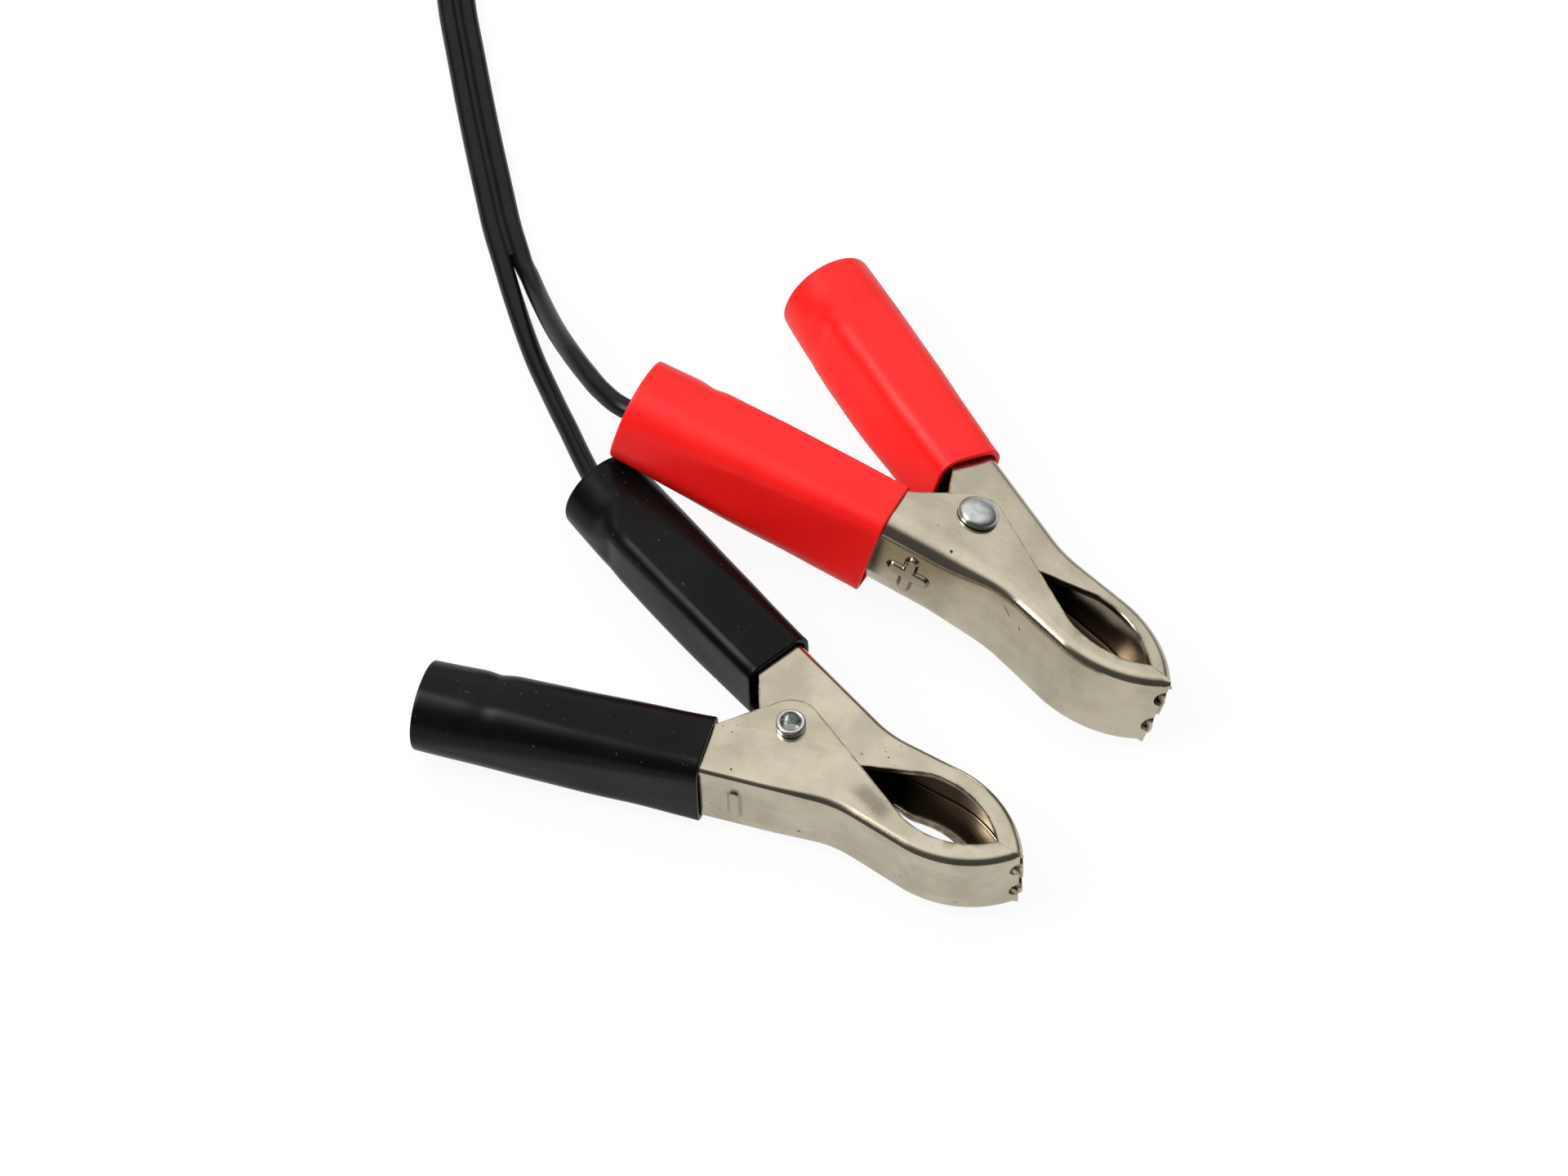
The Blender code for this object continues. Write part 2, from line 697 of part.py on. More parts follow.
def layer_height():
    return CORE_DIAMETER + COIL_GAP


def coil_centre():
    right = heading(COIL_HEADING - math.pi / 2)
    return Vector((*COIL_START, 0)) + right * coil_radii()[0]


def end_heading():
    """The way the lead's end points, after a quarter turn inward from the last turn of the coil."""
    return COIL_HEADING - 2 * math.pi * COIL_TURNS - math.pi / 2


def end_height():
    """The middle of the connector, which lies on the coil's second layer."""
    return coil_lift() + layer_height() + CORE_DIAMETER / 2 + SEAT_GAP + BODY_THICKNESS / 2


def coil_points():
    """A spiral in, a climb of one layer going inward, a spiral out, and a curl in over the top."""
    outermost, _, step = coil_radii()
    centre = coil_centre()
    lift = coil_lift()
    points = [Vector((*COIL_START, lift)) - heading(COIL_HEADING) * 2 * CORE_DIAMETER]
    count = round(COIL_STEPS * COIL_TURNS)
    for i in range(count + 1):
        turn = COIL_TURNS * i / count
        climb = min(1.0, max(0.0, (turn - COIL_LOOPS) * 2))
        out = max(0.0, turn - COIL_LOOPS - 0.5)
        radius = outermost - step * min(turn, COIL_LOOPS + 0.5) + step * (out + min(out, 0.5))
        height = lift + layer_height() * climb * climb * (3 - 2 * climb)
        angle = COIL_HEADING + math.pi / 2 - 2 * math.pi * turn
        points.append(centre + heading(angle) * radius + Vector((0, 0, height)))
    curl_centre = centre + heading(angle) * (radius - CURL_RADIUS) + Vector((0, 0, height))
    for i in range(1, CURL_STEPS + 1):
        turned_by = math.pi / 2 * i / CURL_STEPS
        points.append(curl_centre + heading(angle - turned_by) * CURL_RADIUS)
    rise = end_height() - height
    run = 0.0
    lifted = []
    for place, before in zip(points[::-1], points[-2::-1]):
        share = max(0.0, 1 - run / CURL_RISE)
        lifted.append(place + Vector((0, 0, rise * share * share * (3 - 2 * share))))
        run += (place - before).length
    points = [points[0], *lifted[::-1]]
    points.append(points[-1] + heading(end_heading()) * CORE_DIAMETER)
    return points


def least_gap(points, diameter, spread, apart):
    """The least clear space between cores of turns that are at least so many points apart."""
    ways = [(b - a) for a, b in zip(points, points[1:])]
    ways.append(ways[-1])
    least = math.inf
    cores = []
    for place, way in zip(points, ways):
        across = Vector((-way.y, way.x, 0)).normalized() * spread / 2
        cores.append((place + across, place - across))
    for i, pair in enumerate(cores):
        for other in cores[i + apart:]:
            least = min(least, min((a - b).length for a in pair for b in other) - diameter)
    return least


def rounded_rectangle(left, bottom, right, top, radius):
    corners = ((right, top, 0), (left, top, 1), (left, bottom, 2), (right, bottom, 3))
    outline = []
    for x, y, quarter in corners:
        inward_x = radius if x == left else -radius
        inward_y = radius if y == bottom else -radius
        for i in range(4):
            turn = math.pi / 2 * (quarter + i / 3)
            outline.append((x + inward_x + radius * math.cos(turn),
                            y + inward_y + radius * math.sin(turn)))
    return outline


def make_tie():
    """A flat strap round all the turns, past the place where the lead comes in."""
    outermost, innermost, step = coil_radii()
    near = innermost - step / 2 - CORE_DIAMETER - SEAT_GAP
    far = outermost + CORE_DIAMETER + SEAT_GAP
    top = coil_lift() + layer_height() + CORE_DIAMETER / 2 + SEAT_GAP
    wall = TIE_THICKNESS
    hole = rounded_rectangle(near, wall, far, top, CORE_DIAMETER / 2)
    strap = rounded_rectangle(near - wall, 0, far + wall, top + wall, CORE_DIAMETER / 2 + wall)
    tie = flat_piece("lead_tie", [strap, hole], TIE_WIDTH)
    tie.location = coil_centre()
    tie.rotation_euler = (math.pi / 2, 0, COIL_HEADING + TIE_TURN)
    smooth(tie)
    return finish_piece(tie, BLACK_VINYL)


# Connector
def rounded(piece, width, segments=2):
    bevel = piece.modifiers.new("round", "BEVEL")
    bevel.width = width
    bevel.segments = segments
    return piece


def pole_rod(name, diameter, start, end, pole):
    """A rod along X at one pole, between two distances from the connector's origin."""
    piece = rod(name, diameter, end - start)
    piece.rotation_euler.y = math.pi / 2
    piece.location = ((start + end) / 2, pole * POLE_PITCH / 2, 0)
    return piece


def make_boot(frame):
    """A tapered boot, from a little over the lead's size to a little under the body's."""
    width = BODY_WIDTH - BOOT_ROOM
    thickness = BODY_THICKNESS - BOOT_ROOM
    boot = block("connector_boot", (BOOT_LENGTH, width, thickness))
    for corner in boot.data.vertices:
        if corner.co.x < 0:
            corner.co.y *= (2 * CORE_DIAMETER + BOOT_ROOM) / width
            corner.co.z *= (CORE_DIAMETER + BOOT_ROOM) / thickness
    boot.location.x = SEAT_GAP + BOOT_LENGTH / 2
    finish_piece(rounded(boot, BODY_ROUND), BLACK_VINYL, frame)


def make_connector(lead_end):
    """The lead's far end: a bare pin and a shrouded socket side by side in a moulded body."""
    frame = bpy.data.objects.new("connector", None)
    PARTS.objects.link(frame)
    frame.location = lead_end
    frame.rotation_euler.z = end_heading()
    make_boot(frame)
    back = SEAT_GAP + BOOT_LENGTH + SEAT_GAP
    front = back + BODY_LENGTH
    socket_diameter = PIN_DIAMETER + 2 * (POLE_PLAY + SOCKET_WALL)
    socket_front = front + SHROUD_REACH - POLE_PLAY
    body = rounded(block("connector_body", (BODY_LENGTH, BODY_WIDTH, BODY_THICKNESS)), BODY_ROUND)
    for corner in body.data.vertices:
        corner.co.x += (front + back) / 2
    shroud = pole_rod("shroud", SHROUD_DIAMETER, front - BODY_ROUND * 2, front + SHROUD_REACH, 1)
    combine(body, as_cutter(shroud, frame), "UNION")
    bore_end = socket_front - SOCKET_LENGTH - SEAT_GAP
    clear = front + 2 * SHROUD_REACH
    bore = pole_rod("socket_bore", socket_diameter + 2 * POLE_PLAY, bore_end, clear, 1)
    combine(body, as_cutter(bore, frame), "DIFFERENCE")
    seat_end = front - PIN_ROOT - SEAT_GAP
    seat = pole_rod("pin_seat", PIN_DIAMETER + 2 * POLE_PLAY, seat_end, clear, -1)
    combine(body, as_cutter(seat, frame), "DIFFERENCE")
    finish_piece(body, BLACK_VINYL, frame)
    pin = pole_rod("connector_pin", PIN_DIAMETER, front - PIN_ROOT, front + PIN_REACH, -1)
    finish_piece(rounded(pin, PIN_ROUND), BRASS, frame)
    inner = PIN_DIAMETER / 2 + POLE_PLAY
    outer = socket_diameter / 2
    half = SOCKET_LENGTH / 2
    wall = [(inner, half), (outer, half), (outer, -half), (inner, -half), (inner, half)]
    socket = turned("connector_socket", wall)
    socket.rotation_euler.y = math.pi / 2
    socket.location = (socket_front - half, POLE_PITCH / 2, 0)
    finish_piece(socket, BRASS, frame)


make_leg("black_leg", black_clip, INNER, BLACK_LEG_ROUTE, -1)
make_leg("red_leg", red_clip, OUTER, RED_LEG_ROUTE, 1)
PROFILE = twin_profile()
coil_start = Vector((*COIL_START, coil_lift())) - heading(COIL_HEADING) * 2 * CORE_DIAMETER
twin_end = coil_start - heading(COIL_HEADING) * SEAT_GAP
split = Vector((*SPLIT_PLACE, CORE_DIAMETER / 2))
past_split = split + heading(SPLIT_HEADING) * 2 * CORE_DIAMETER
twin_places = smooth_route([split, past_split, *on_bench(TWIN_ROUTE), twin_end], 2 * CORE_DIAMETER)
finish_piece(twin_tube("twin_lead", twin_places, PROFILE), BLACK_VINYL)
loops = coil_points()
finish_piece(twin_tube("lead_coil", loops, PROFILE), BLACK_VINYL)
make_tie()
make_connector(loops[-1])
length = sum((b - a).length for a, b in zip(loops, loops[1:]))
coil_gap = least_gap(loops, CORE_DIAMETER, CORE_DIAMETER, COIL_STEPS // 2)
spring_gap = least_gap(spring_points(), SPRING_WIRE, 0, SPRING_STEPS // 2 + 1)
print(f"lead put away {length:.3f} m, least gap in the coil {coil_gap / MM:.2f} mm")
print(f"least gap in the springs {spring_gap / MM:.2f} mm")
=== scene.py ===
# %% [markdown]
# # A battery clip lead
# Two sprung crocodile clips on a twin lead, lying on a white bench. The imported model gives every
# place and size. This lesson dresses it: bent sheet metal, soft sleeves, cords and their finishes.

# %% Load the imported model
import json
import math

import bpy
from mathutils import Euler, Matrix, Vector, geometry, noise
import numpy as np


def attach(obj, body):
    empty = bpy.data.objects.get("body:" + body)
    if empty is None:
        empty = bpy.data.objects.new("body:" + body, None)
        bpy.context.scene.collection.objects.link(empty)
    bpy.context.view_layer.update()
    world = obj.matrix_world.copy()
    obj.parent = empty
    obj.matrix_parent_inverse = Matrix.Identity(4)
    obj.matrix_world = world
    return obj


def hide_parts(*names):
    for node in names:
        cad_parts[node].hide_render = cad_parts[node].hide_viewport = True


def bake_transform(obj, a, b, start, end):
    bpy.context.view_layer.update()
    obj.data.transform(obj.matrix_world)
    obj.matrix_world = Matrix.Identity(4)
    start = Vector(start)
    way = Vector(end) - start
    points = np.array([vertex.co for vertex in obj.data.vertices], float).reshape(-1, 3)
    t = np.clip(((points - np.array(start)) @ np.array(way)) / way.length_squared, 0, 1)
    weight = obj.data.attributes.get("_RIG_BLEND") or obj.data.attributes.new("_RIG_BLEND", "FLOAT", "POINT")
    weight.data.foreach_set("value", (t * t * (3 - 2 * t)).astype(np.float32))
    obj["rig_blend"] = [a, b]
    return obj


MM = 0.001
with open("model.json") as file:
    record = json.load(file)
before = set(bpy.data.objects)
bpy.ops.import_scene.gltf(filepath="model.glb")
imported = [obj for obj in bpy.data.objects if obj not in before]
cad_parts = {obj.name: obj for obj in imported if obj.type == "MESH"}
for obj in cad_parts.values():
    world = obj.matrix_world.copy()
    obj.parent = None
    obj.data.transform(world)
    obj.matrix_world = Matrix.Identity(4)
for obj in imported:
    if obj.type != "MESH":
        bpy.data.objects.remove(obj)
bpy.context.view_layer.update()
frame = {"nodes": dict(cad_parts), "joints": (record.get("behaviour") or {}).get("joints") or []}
hinges = {joint["name"]: joint for joint in frame["joints"]}
print(len(frame["nodes"]), "nodes,", len(hinges), "hinges")

# %% [markdown]
# ## The camera
# The view was found by fitting a pinhole camera to points on both clips, so the camera is set from
# that fit: the point it looks at, the direction and distance it looks from, and the focal length.

# %% Place the camera
AIM = Vector((-12.46, 3.50, 0.0)) * MM
AZIMUTH = math.radians(38.7)
ELEVATION = math.radians(56.9)
DISTANCE = 584.1 * MM
FOCAL_PIXELS = 5500
PICTURE_WIDTH = 1920
SENSOR = 36.0

right = Vector((math.cos(AZIMUTH), math.sin(AZIMUTH), 0))
back = Vector((math.sin(AZIMUTH) * math.cos(ELEVATION), -math.cos(AZIMUTH) * math.cos(ELEVATION),
               math.sin(ELEVATION)))
turn = Matrix((right, back.cross(right), back)).transposed()
bpy.ops.object.camera_add(location=AIM + back * DISTANCE, rotation=turn.to_euler())
camera = bpy.context.object
camera.data.sensor_fit = "HORIZONTAL"
camera.data.sensor_width = SENSOR
camera.data.lens = FOCAL_PIXELS / PICTURE_WIDTH * SENSOR
bpy.context.scene.camera = camera
print("lens", round(camera.data.lens, 3), "mm")

# %% [markdown]
# ## Sheet that is bent into shape
# Stamped jaws, sleeves and cords are all sheets at heart: a flat grid whose rows are moved to where
# the sheet ends up. The same helper bends every one of them, and keeps a UV map of the flat sheet in
# decimetres, so that a pattern can follow the surface. The jaws keep a second map, with the distance
# from the sheet's cut edge, where dirt and a painted line of shade go.

# %% Helpers for bent sheets
UV_PER_METRE = 10.0
FLAT = "flat"
MARGIN = "margin"


def only(piece):
    bpy.ops.object.select_all(action="DESELECT")
    piece.select_set(True)
    bpy.context.view_layer.objects.active = piece


def add(operator, name=None, **settings):
    """Add an object with nothing else selected, and name it."""
    bpy.ops.object.select_all(action="DESELECT")
    operator(**settings)
    piece = bpy.context.object
    if name:
        piece.name = name
        piece.data.name = name
    return piece


def settle(piece):
    """Put the piece's place into its mesh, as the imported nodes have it."""
    only(piece)
    bpy.ops.object.transform_apply(location=True, rotation=True, scale=True)
    return piece


def edit_all(piece, *steps):
    """Run edit mode steps on the whole mesh."""
    only(piece)
    bpy.ops.object.mode_set(mode="EDIT")
    bpy.ops.mesh.select_all(action="SELECT")
    for step in steps:
        step()
    bpy.ops.object.mode_set(mode="OBJECT")


def apply(piece, kind, **settings):
    modifier = piece.modifiers.new(kind.lower(), kind)
    for name, value in settings.items():
        setattr(modifier, name, value)
    only(piece)
    bpy.ops.object.modifier_apply(modifier=modifier.name)


def merge_close():
    bpy.ops.mesh.remove_doubles(threshold=0.001 * MM)


def close_ends():
    bpy.ops.mesh.select_all(action="DESELECT")
    bpy.ops.mesh.select_non_manifold()
    bpy.ops.mesh.fill_holes(sides=0)


def face_out():
    bpy.ops.mesh.select_all(action="SELECT")
    bpy.ops.mesh.normals_make_consistent(inside=False)


def bend_grid(name, rows, *sheets):
    """A grid bent to rows of places, with its seam closed. Each sheet is one UV map of the places."""
    across = len(rows[0])
    piece = add(bpy.ops.mesh.primitive_grid_add, name, x_subdivisions=across - 1,
                y_subdivisions=len(rows) - 1, size=1)
    maps = piece.data.uv_layers
    maps[0].name = FLAT
    if len(sheets) > 1:
        maps.new(name=MARGIN)
        maps[FLAT].active_render = True
        maps.active_index = 0
    for layer, sheet in zip(maps, sheets):
        for loop in piece.data.loops:
            row, column = divmod(loop.vertex_index, across)
            layer.data[loop.index].uv = Vector(sheet[row][column]) * UV_PER_METRE
    for index, vertex in enumerate(piece.data.vertices):
        row, column = divmod(index, across)
        vertex.co = rows[row][column]
    edit_all(piece, merge_close)
    return piece


def soften(piece, angle):
    only(piece)
    bpy.ops.object.shade_smooth_by_angle(angle=math.radians(angle))


def polyline_length(points):
    return sum((b - a).length for a, b in zip(points, points[1:]))


# %% [markdown]
# ## Where the clips lie
# Each clip has a frame of its own: the rivet's middle at the origin, X to the nose, Y to the inner
# jaw and Z along the rivet. The hinge in the record gives the place, and the three turns are the
# same ones the model was laid down with.

# %% Frames of the clips
BLACK_TURN = (0.6, -0.9, 5.4)
RED_TURN = (-18.0, 4.6, -5.3)


def clip_frame(hinge, turns):
    place = Matrix.Translation(hinges[hinge]["pos_m"])
    return place @ Euler([math.radians(angle) for angle in turns]).to_matrix().to_4x4()


black_frame = clip_frame("black_clip_hinge", BLACK_TURN)
red_frame = clip_frame("red_clip_hinge", RED_TURN)

WAIST_REACH = 10.5 * MM
WAIST_HEIGHT = 6.75 * MM
HANDLE_ANGLE = math.radians(16.7)
HANDLE_RUN = 44.5 * MM
SHEET = 0.9 * MM
OUTER = -1
INNER = 1


def handle_point(run, depth):
    """A place on a handle: run back from the waist along the web, depth in from its outer face."""
    backward = Vector((-math.cos(HANDLE_ANGLE), math.sin(HANDLE_ANGLE)))
    inward = Vector((-math.sin(HANDLE_ANGLE), -math.cos(HANDLE_ANGLE)))
    return Vector((WAIST_REACH, WAIST_HEIGHT)) + backward * run + inward * depth


def in_handle(clip, side, run, depth, across=0.0):
    place = handle_point(run, depth)
    return clip @ Vector((place.x, side * place.y, across))


# %% [markdown]
# ## Finishes as Python expressions
# A finish is a node tree, and its arithmetic reads best as arithmetic. Socket wraps one output of a
# node and turns + - * ** and abs into Math nodes. Nodes adds every other node through one method, and
# Finish is the node tree of a material.

# %% Shader classes
class Socket:
    """One output of a node, on which Python's operators work."""

    def __init__(self, owner, link):
        self.owner = owner
        self.link = link

    def math(self, operation, *values):
        return self.owner.node("ShaderNodeMath", {"operation": operation}, dict(enumerate(values)))

    def __abs__(self):
        return self.math("ABSOLUTE", self)

    def __add__(self, other):
        return self.math("ADD", self, other)

    def __mul__(self, other):
        return self.math("MULTIPLY", self, other)

    def __sub__(self, other):
        return self.math("SUBTRACT", self, other)

    def __rsub__(self, other):
        return self.math("SUBTRACT", other, self)

    def __pow__(self, other):
        return self.math("POWER", self, other)

    __radd__ = __add__
    __rmul__ = __mul__

    def at_least(self, low):
        return self.math("MAXIMUM", self, low)

    def rise(self, low, high):
        """0 below low, 1 above high, smooth between."""
        places = {"Value": self, "From Min": low, "From Max": high}
        return self.owner.node("ShaderNodeMapRange", {"interpolation_type": "SMOOTHSTEP"}, places)


class Nodes:
    """A node tree, to which one method adds any node."""

    def __init__(self, tree):
        self.tree = tree

    def fill(self, socket, value):
        if isinstance(value, Socket):
            self.tree.links.new(value.link, socket)
        else:
            socket.default_value = value

    def node(self, kind, settings=None, sockets=None, output=0):
        node = self.tree.nodes.new(kind)
        for name, value in (settings or {}).items():
            setattr(node, name, value)
        for name, value in (sockets or {}).items():
            self.fill(node.inputs[name], value)
        return Socket(self, node.outputs[output])


class Finish(Nodes):
    """A material: fixed values go on the shader's sockets, and what varies comes in through links."""

    def __init__(self, name, **fixed):
        self.material = bpy.data.materials.new(name)
        self.material.use_nodes = True
        super().__init__(self.material.node_tree)
        self.shader = self.tree.nodes["Principled BSDF"]
        self.put(**fixed)

    def put(self, **sockets):
        for name, value in sockets.items():
            self.fill(self.shader.inputs[name.replace("_", " ")], value)

    def mix(self, share, first, second):
        sockets = {0: share, 6: first, 7: second}
        return self.node("ShaderNodeMix", {"data_type": "RGBA"}, sockets, 2)

    def coordinates(self):
        return self.node("ShaderNodeTexCoord", output="Object")

    def sheet(self, name):
        return self.node("ShaderNodeUVMap", {"uv_map": name})

    def parts(self, vector):
        """The first two numbers of a vector."""
        return [self.node("ShaderNodeSeparateXYZ", None, {0: vector}, part) for part in (0, 1)]

    def stretched(self, vector, scale):
        return self.node("ShaderNodeMapping", None, {"Vector": vector, "Scale": scale})

    def cloud(self, vector, scale, detail=3.0, roughness=0.5):
        sockets = {"Vector": vector, "Scale": scale, "Detail": detail, "Roughness": roughness}
        return self.node("ShaderNodeTexNoise", None, sockets)

    def bump(self, height, distance, strength=1.0, below=None):
        sockets = {"Height": height, "Distance": distance, "Strength": strength}
        if below:
            sockets["Normal"] = below
        return self.node("ShaderNodeBump", None, sockets)

    def wear(self, piece, slot):
        """Give a piece this finish. The slot argument is not used."""
        piece.data.materials.clear()
        piece.data.materials.append(self.material)


def dress(piece, body, finish, slot, *nodes):
    """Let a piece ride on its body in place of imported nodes, in its finish."""
    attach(piece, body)
    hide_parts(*nodes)
    finish.wear(piece, slot)
    print(piece.name, len(piece.data.polygons), "faces")
    return piece


# %% [markdown]
# ## Black PVC
# The flex and two of the sleeves are soft black PVC. The flex is satin, with faint lines that the
# extruder drew along it. The sleeves are glossier, a little cloudy, with dust specks.

# %% Black finishes
def make_flex():
    flex = Finish("flex_black_pvc", Specular_IOR_Level=0.22)
    drawn = flex.cloud(flex.stretched(flex.sheet(FLAT), (6.0, 900.0, 1.0)), 1.0)
    haze = flex.cloud(flex.coordinates(), 140.0)
    flex.put(Roughness=0.2 + haze * 0.16,
             Base_Color=flex.mix(haze.rise(0.45, 0.75), (0.004, 0.004, 0.004, 1), (0.007, 0.007, 0.007, 1)),
             Normal=flex.bump(drawn, 0.03 * MM, 0.5))
    return flex


def make_sleeve_black():
    vinyl = Finish("sleeve_black_pvc", Specular_IOR_Level=0.13)
    places = vinyl.coordinates()
    haze = vinyl.cloud(places, 90.0)
    waves = vinyl.cloud(places, 260.0, 1.0)
    dust = vinyl.cloud(places, 1500.0, 1.0).rise(0.74, 0.80)
    dark = vinyl.mix(haze.rise(0.4, 0.7), (0.003, 0.003, 0.003, 1), (0.006, 0.006, 0.006, 1))
    vinyl.put(Base_Color=vinyl.mix(dust * 0.5, dark, (0.10, 0.10, 0.10, 1)),
              Roughness=0.22 + haze * 0.12 + dust * 0.3,
              Normal=vinyl.bump(waves, 0.05 * MM, 0.3))
    return vinyl


flex_finish = make_flex()
black_finish = make_sleeve_black()

# %% [markdown]
# ## The cords
# Two round cores leave the sleeves, run down to the bench and join into one flat twin cord. The
# picture shows only the first of it. The rest of such a lead, about half a metre, is put away outside
# the view as a tied coil, and ends in a two-pole connector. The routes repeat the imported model's, but
# for the red core, which leaves its sleeve at a slant.

# %% Routes of the cords
CORE = 2.7 * MM
GAP = 0.3 * MM
WIRE_DEPTH = 2.7 * MM
CORE_START_RUN = 40.3 * MM
SLEEVE_END_RUN = 54.5 * MM
TAIL_DEPTH = 3.0 * MM
SPLIT_PLACE = Vector((-74.5 * MM, 21.5 * MM, CORE / 2))
SPLIT_HEADING = math.radians(144)
SPLIT_RUN_IN = 2.4 * MM
BLACK_LEG_ROUTE = [(-49.3, 3.4, 4.4), (-55.0, 6.8, 3.0), (-60.5, 10.1, 2.1),
                   (-65.6, 13.5, 1.6), (-70.6, 17.0, 1.36)]
RED_LEG_ROUTE = [(-43.2, 4.4, 15.9), (-46.8, 5.8, 14.7), (-52.2, 8.5, 12.2),
                 (-58.9, 12.6, 8.0), (-66.0, 17.5, 3.6), (-71.0, 20.9, 1.5)]
RED_LEG_DROP = 1.4 * MM
TWIN_ROUTE = [(-83.2, 28.2, 1.36), (-92.3, 35.7, 1.36), (-101.3, 43.4, 1.36), (-110.5, 51.5, 1.36),
              (-116.0, 57.9, 1.36), (-120.2, 66.2, 1.4), (-122.6, 76.0, 1.6), (-123.5, 87.0, 1.9)]
COIL_START = (-124.4 * MM, 106.9 * MM)
COIL_HEADING = math.radians(94)
COIL_DIAMETER = 54.0 * MM
COIL_LOOPS = 1
COIL_TURNS = 2.4
COIL_STEP = 2 * CORE + 0.5 * MM
COIL_LIFT = 0.6 * MM + GAP + CORE / 2
LAYER = CORE + 0.5 * MM
CURL_RADIUS = 12.0 * MM
CURL_RISE = 30.0 * MM
END_HEADING = COIL_HEADING - 2 * math.pi * COIL_TURNS - math.pi / 2
TIE_TURN = math.radians(36)
BODY_THICKNESS = 8.6 * MM
TURN_STEPS = 48
CURL_STEPS = 12


def heading(angle):
    return Vector((math.cos(angle), math.sin(angle), 0))


def eased(share):
    share = min(1.0, max(0.0, share))
    return share * share * (3 - 2 * share)


def on_bench(route):
    return [Vector(place) * MM for place in route]


def smooth_route(places, spacing):
    """Even points on a smooth curve through places, with both ends kept."""
    padded = [places[0] * 2 - places[1]] + places + [places[-1] * 2 - places[-2]]
    fine_steps = 16
    fine = []
    for before, start, end, after in zip(padded, padded[1:], padded[2:], padded[3:]):
        for i in range(fine_steps):
            t = i / fine_steps
            fine.append((start * 2 + (end - before) * t
                         + (before * 2 - start * 5 + end * 4 - after) * t ** 2
                         + (start * 3 - before - end * 3 + after) * t ** 3) / 2)
    fine.append(places[-1])
    total = polyline_length(fine)
    count = max(2, round(total / spacing))
    points = [fine[0]]
    walked = 0.0
    for a, b in zip(fine, fine[1:]):
        step = (b - a).length
        while len(points) < count and walked + step >= total * len(points) / count:
            points.append(a.lerp(b, (total * len(points) / count - walked) / step))
        walked += step
    return points + [fine[-1]]


def leg_points(clip, side, route, core, drop):
    inside = [(CORE_START_RUN, WIRE_DEPTH, 0), (HANDLE_RUN, WIRE_DEPTH, 0),
              (SLEEVE_END_RUN, TAIL_DEPTH, -drop)]
    places = [in_handle(clip, side, *place) for place in inside]
    split = SPLIT_PLACE + heading(SPLIT_HEADING - math.pi / 2) * core * CORE / 2
    places += on_bench(route) + [split - heading(SPLIT_HEADING) * SPLIT_RUN_IN, split]
    return smooth_route(places, CORE / 2)


def coil_points():
    """A spiral in, a climb of one layer going inward, a spiral out, and a curl in over the top."""
    outermost = COIL_DIAMETER / 2 + COIL_LOOPS * COIL_STEP / 2
    centre = Vector((*COIL_START, 0)) + heading(COIL_HEADING - math.pi / 2) * outermost
    points = [Vector((*COIL_START, COIL_LIFT)) - heading(COIL_HEADING) * 2 * CORE]
    count = round(TURN_STEPS * COIL_TURNS)
    for i in range(count + 1):
        loops = COIL_TURNS * i / count
        out = max(0.0, loops - COIL_LOOPS - 0.5)
        radius = outermost - COIL_STEP * (min(loops, COIL_LOOPS + 0.5) - out - min(out, 0.5))
        height = COIL_LIFT + LAYER * eased((loops - COIL_LOOPS) * 2)
        angle = COIL_HEADING + math.pi / 2 - 2 * math.pi * loops
        points.append(centre + heading(angle) * radius + Vector((0, 0, height)))
    curl_centre = centre + heading(angle) * (radius - CURL_RADIUS) + Vector((0, 0, height))
    for i in range(1, CURL_STEPS + 1):
        points.append(curl_centre + heading(angle - math.pi / 2 * i / CURL_STEPS) * CURL_RADIUS)
    rise = COIL_LIFT + LAYER + CORE / 2 + GAP + BODY_THICKNESS / 2 - height
    run = 0.0
    lifted = []
    for place, before in zip(points[::-1], points[-2::-1]):
        lifted.append(place + Vector((0, 0, rise * eased(1 - run / CURL_RISE))))
        run += (place - before).length
    end = lifted[0] + heading(END_HEADING) * CORE
    return [points[0], *reversed(lifted), end], centre


# %% Cords as bent tubes
def round_section(steps=20):
    turns = [2 * math.pi * i / steps for i in range(steps + 1)]
    return [Vector((math.cos(a), math.sin(a))) * CORE / 2 for a in turns]


def twin_section(steps=14):
    """Two cores side by side, joined at a narrow waist."""
    waist = math.radians(30)
    turns = [waist + (2 * math.pi - 2 * waist) * i / steps for i in range(steps + 1)]
    left = [Vector((math.cos(a) - 1, math.sin(a))) * CORE / 2 for a in turns]
    ring = left + [-place for place in left]
    return ring + ring[:1]


def tube(name, points, section):
    """A closed tube whose section stays level as it follows the points."""
    ways = [(b - a).normalized() for a, b in zip(points, points[1:])]
    rows, flats = [], []
    walked = 0.0
    reach = [0.0]
    for a, b in zip(section, section[1:]):
        reach.append(reach[-1] + (b - a).length)
    for place, before, after in zip(points, ways[:1] + ways, ways + ways[-1:]):
        way = (before + after).normalized()
        level = Vector((way.y, -way.x, 0)).normalized()
        up = level.cross(way)
        walked += (place - rows[-1][0]).length if rows else 0.0
        rows.append([place + level * corner.x + up * corner.y for corner in section])
        flats.append([(walked, across) for across in reach])
    cord = bend_grid(name, rows, flats)
    edit_all(cord, close_ends, face_out)
    soften(cord, 60)
    return cord


def lay_leg(name, clip, side, route, core, drop):
    points = leg_points(clip, side, route, core, drop)
    length = polyline_length(points)
    leg = tube(name, points, round_section())
    dress(leg, "lead", flex_finish, "cord_vinyl", name.replace("_core", "_leg"))
    in_handle(clip, side, SLEEVE_END_RUN, TAIL_DEPTH, -drop)
    print(name, round(length, 4), "m")


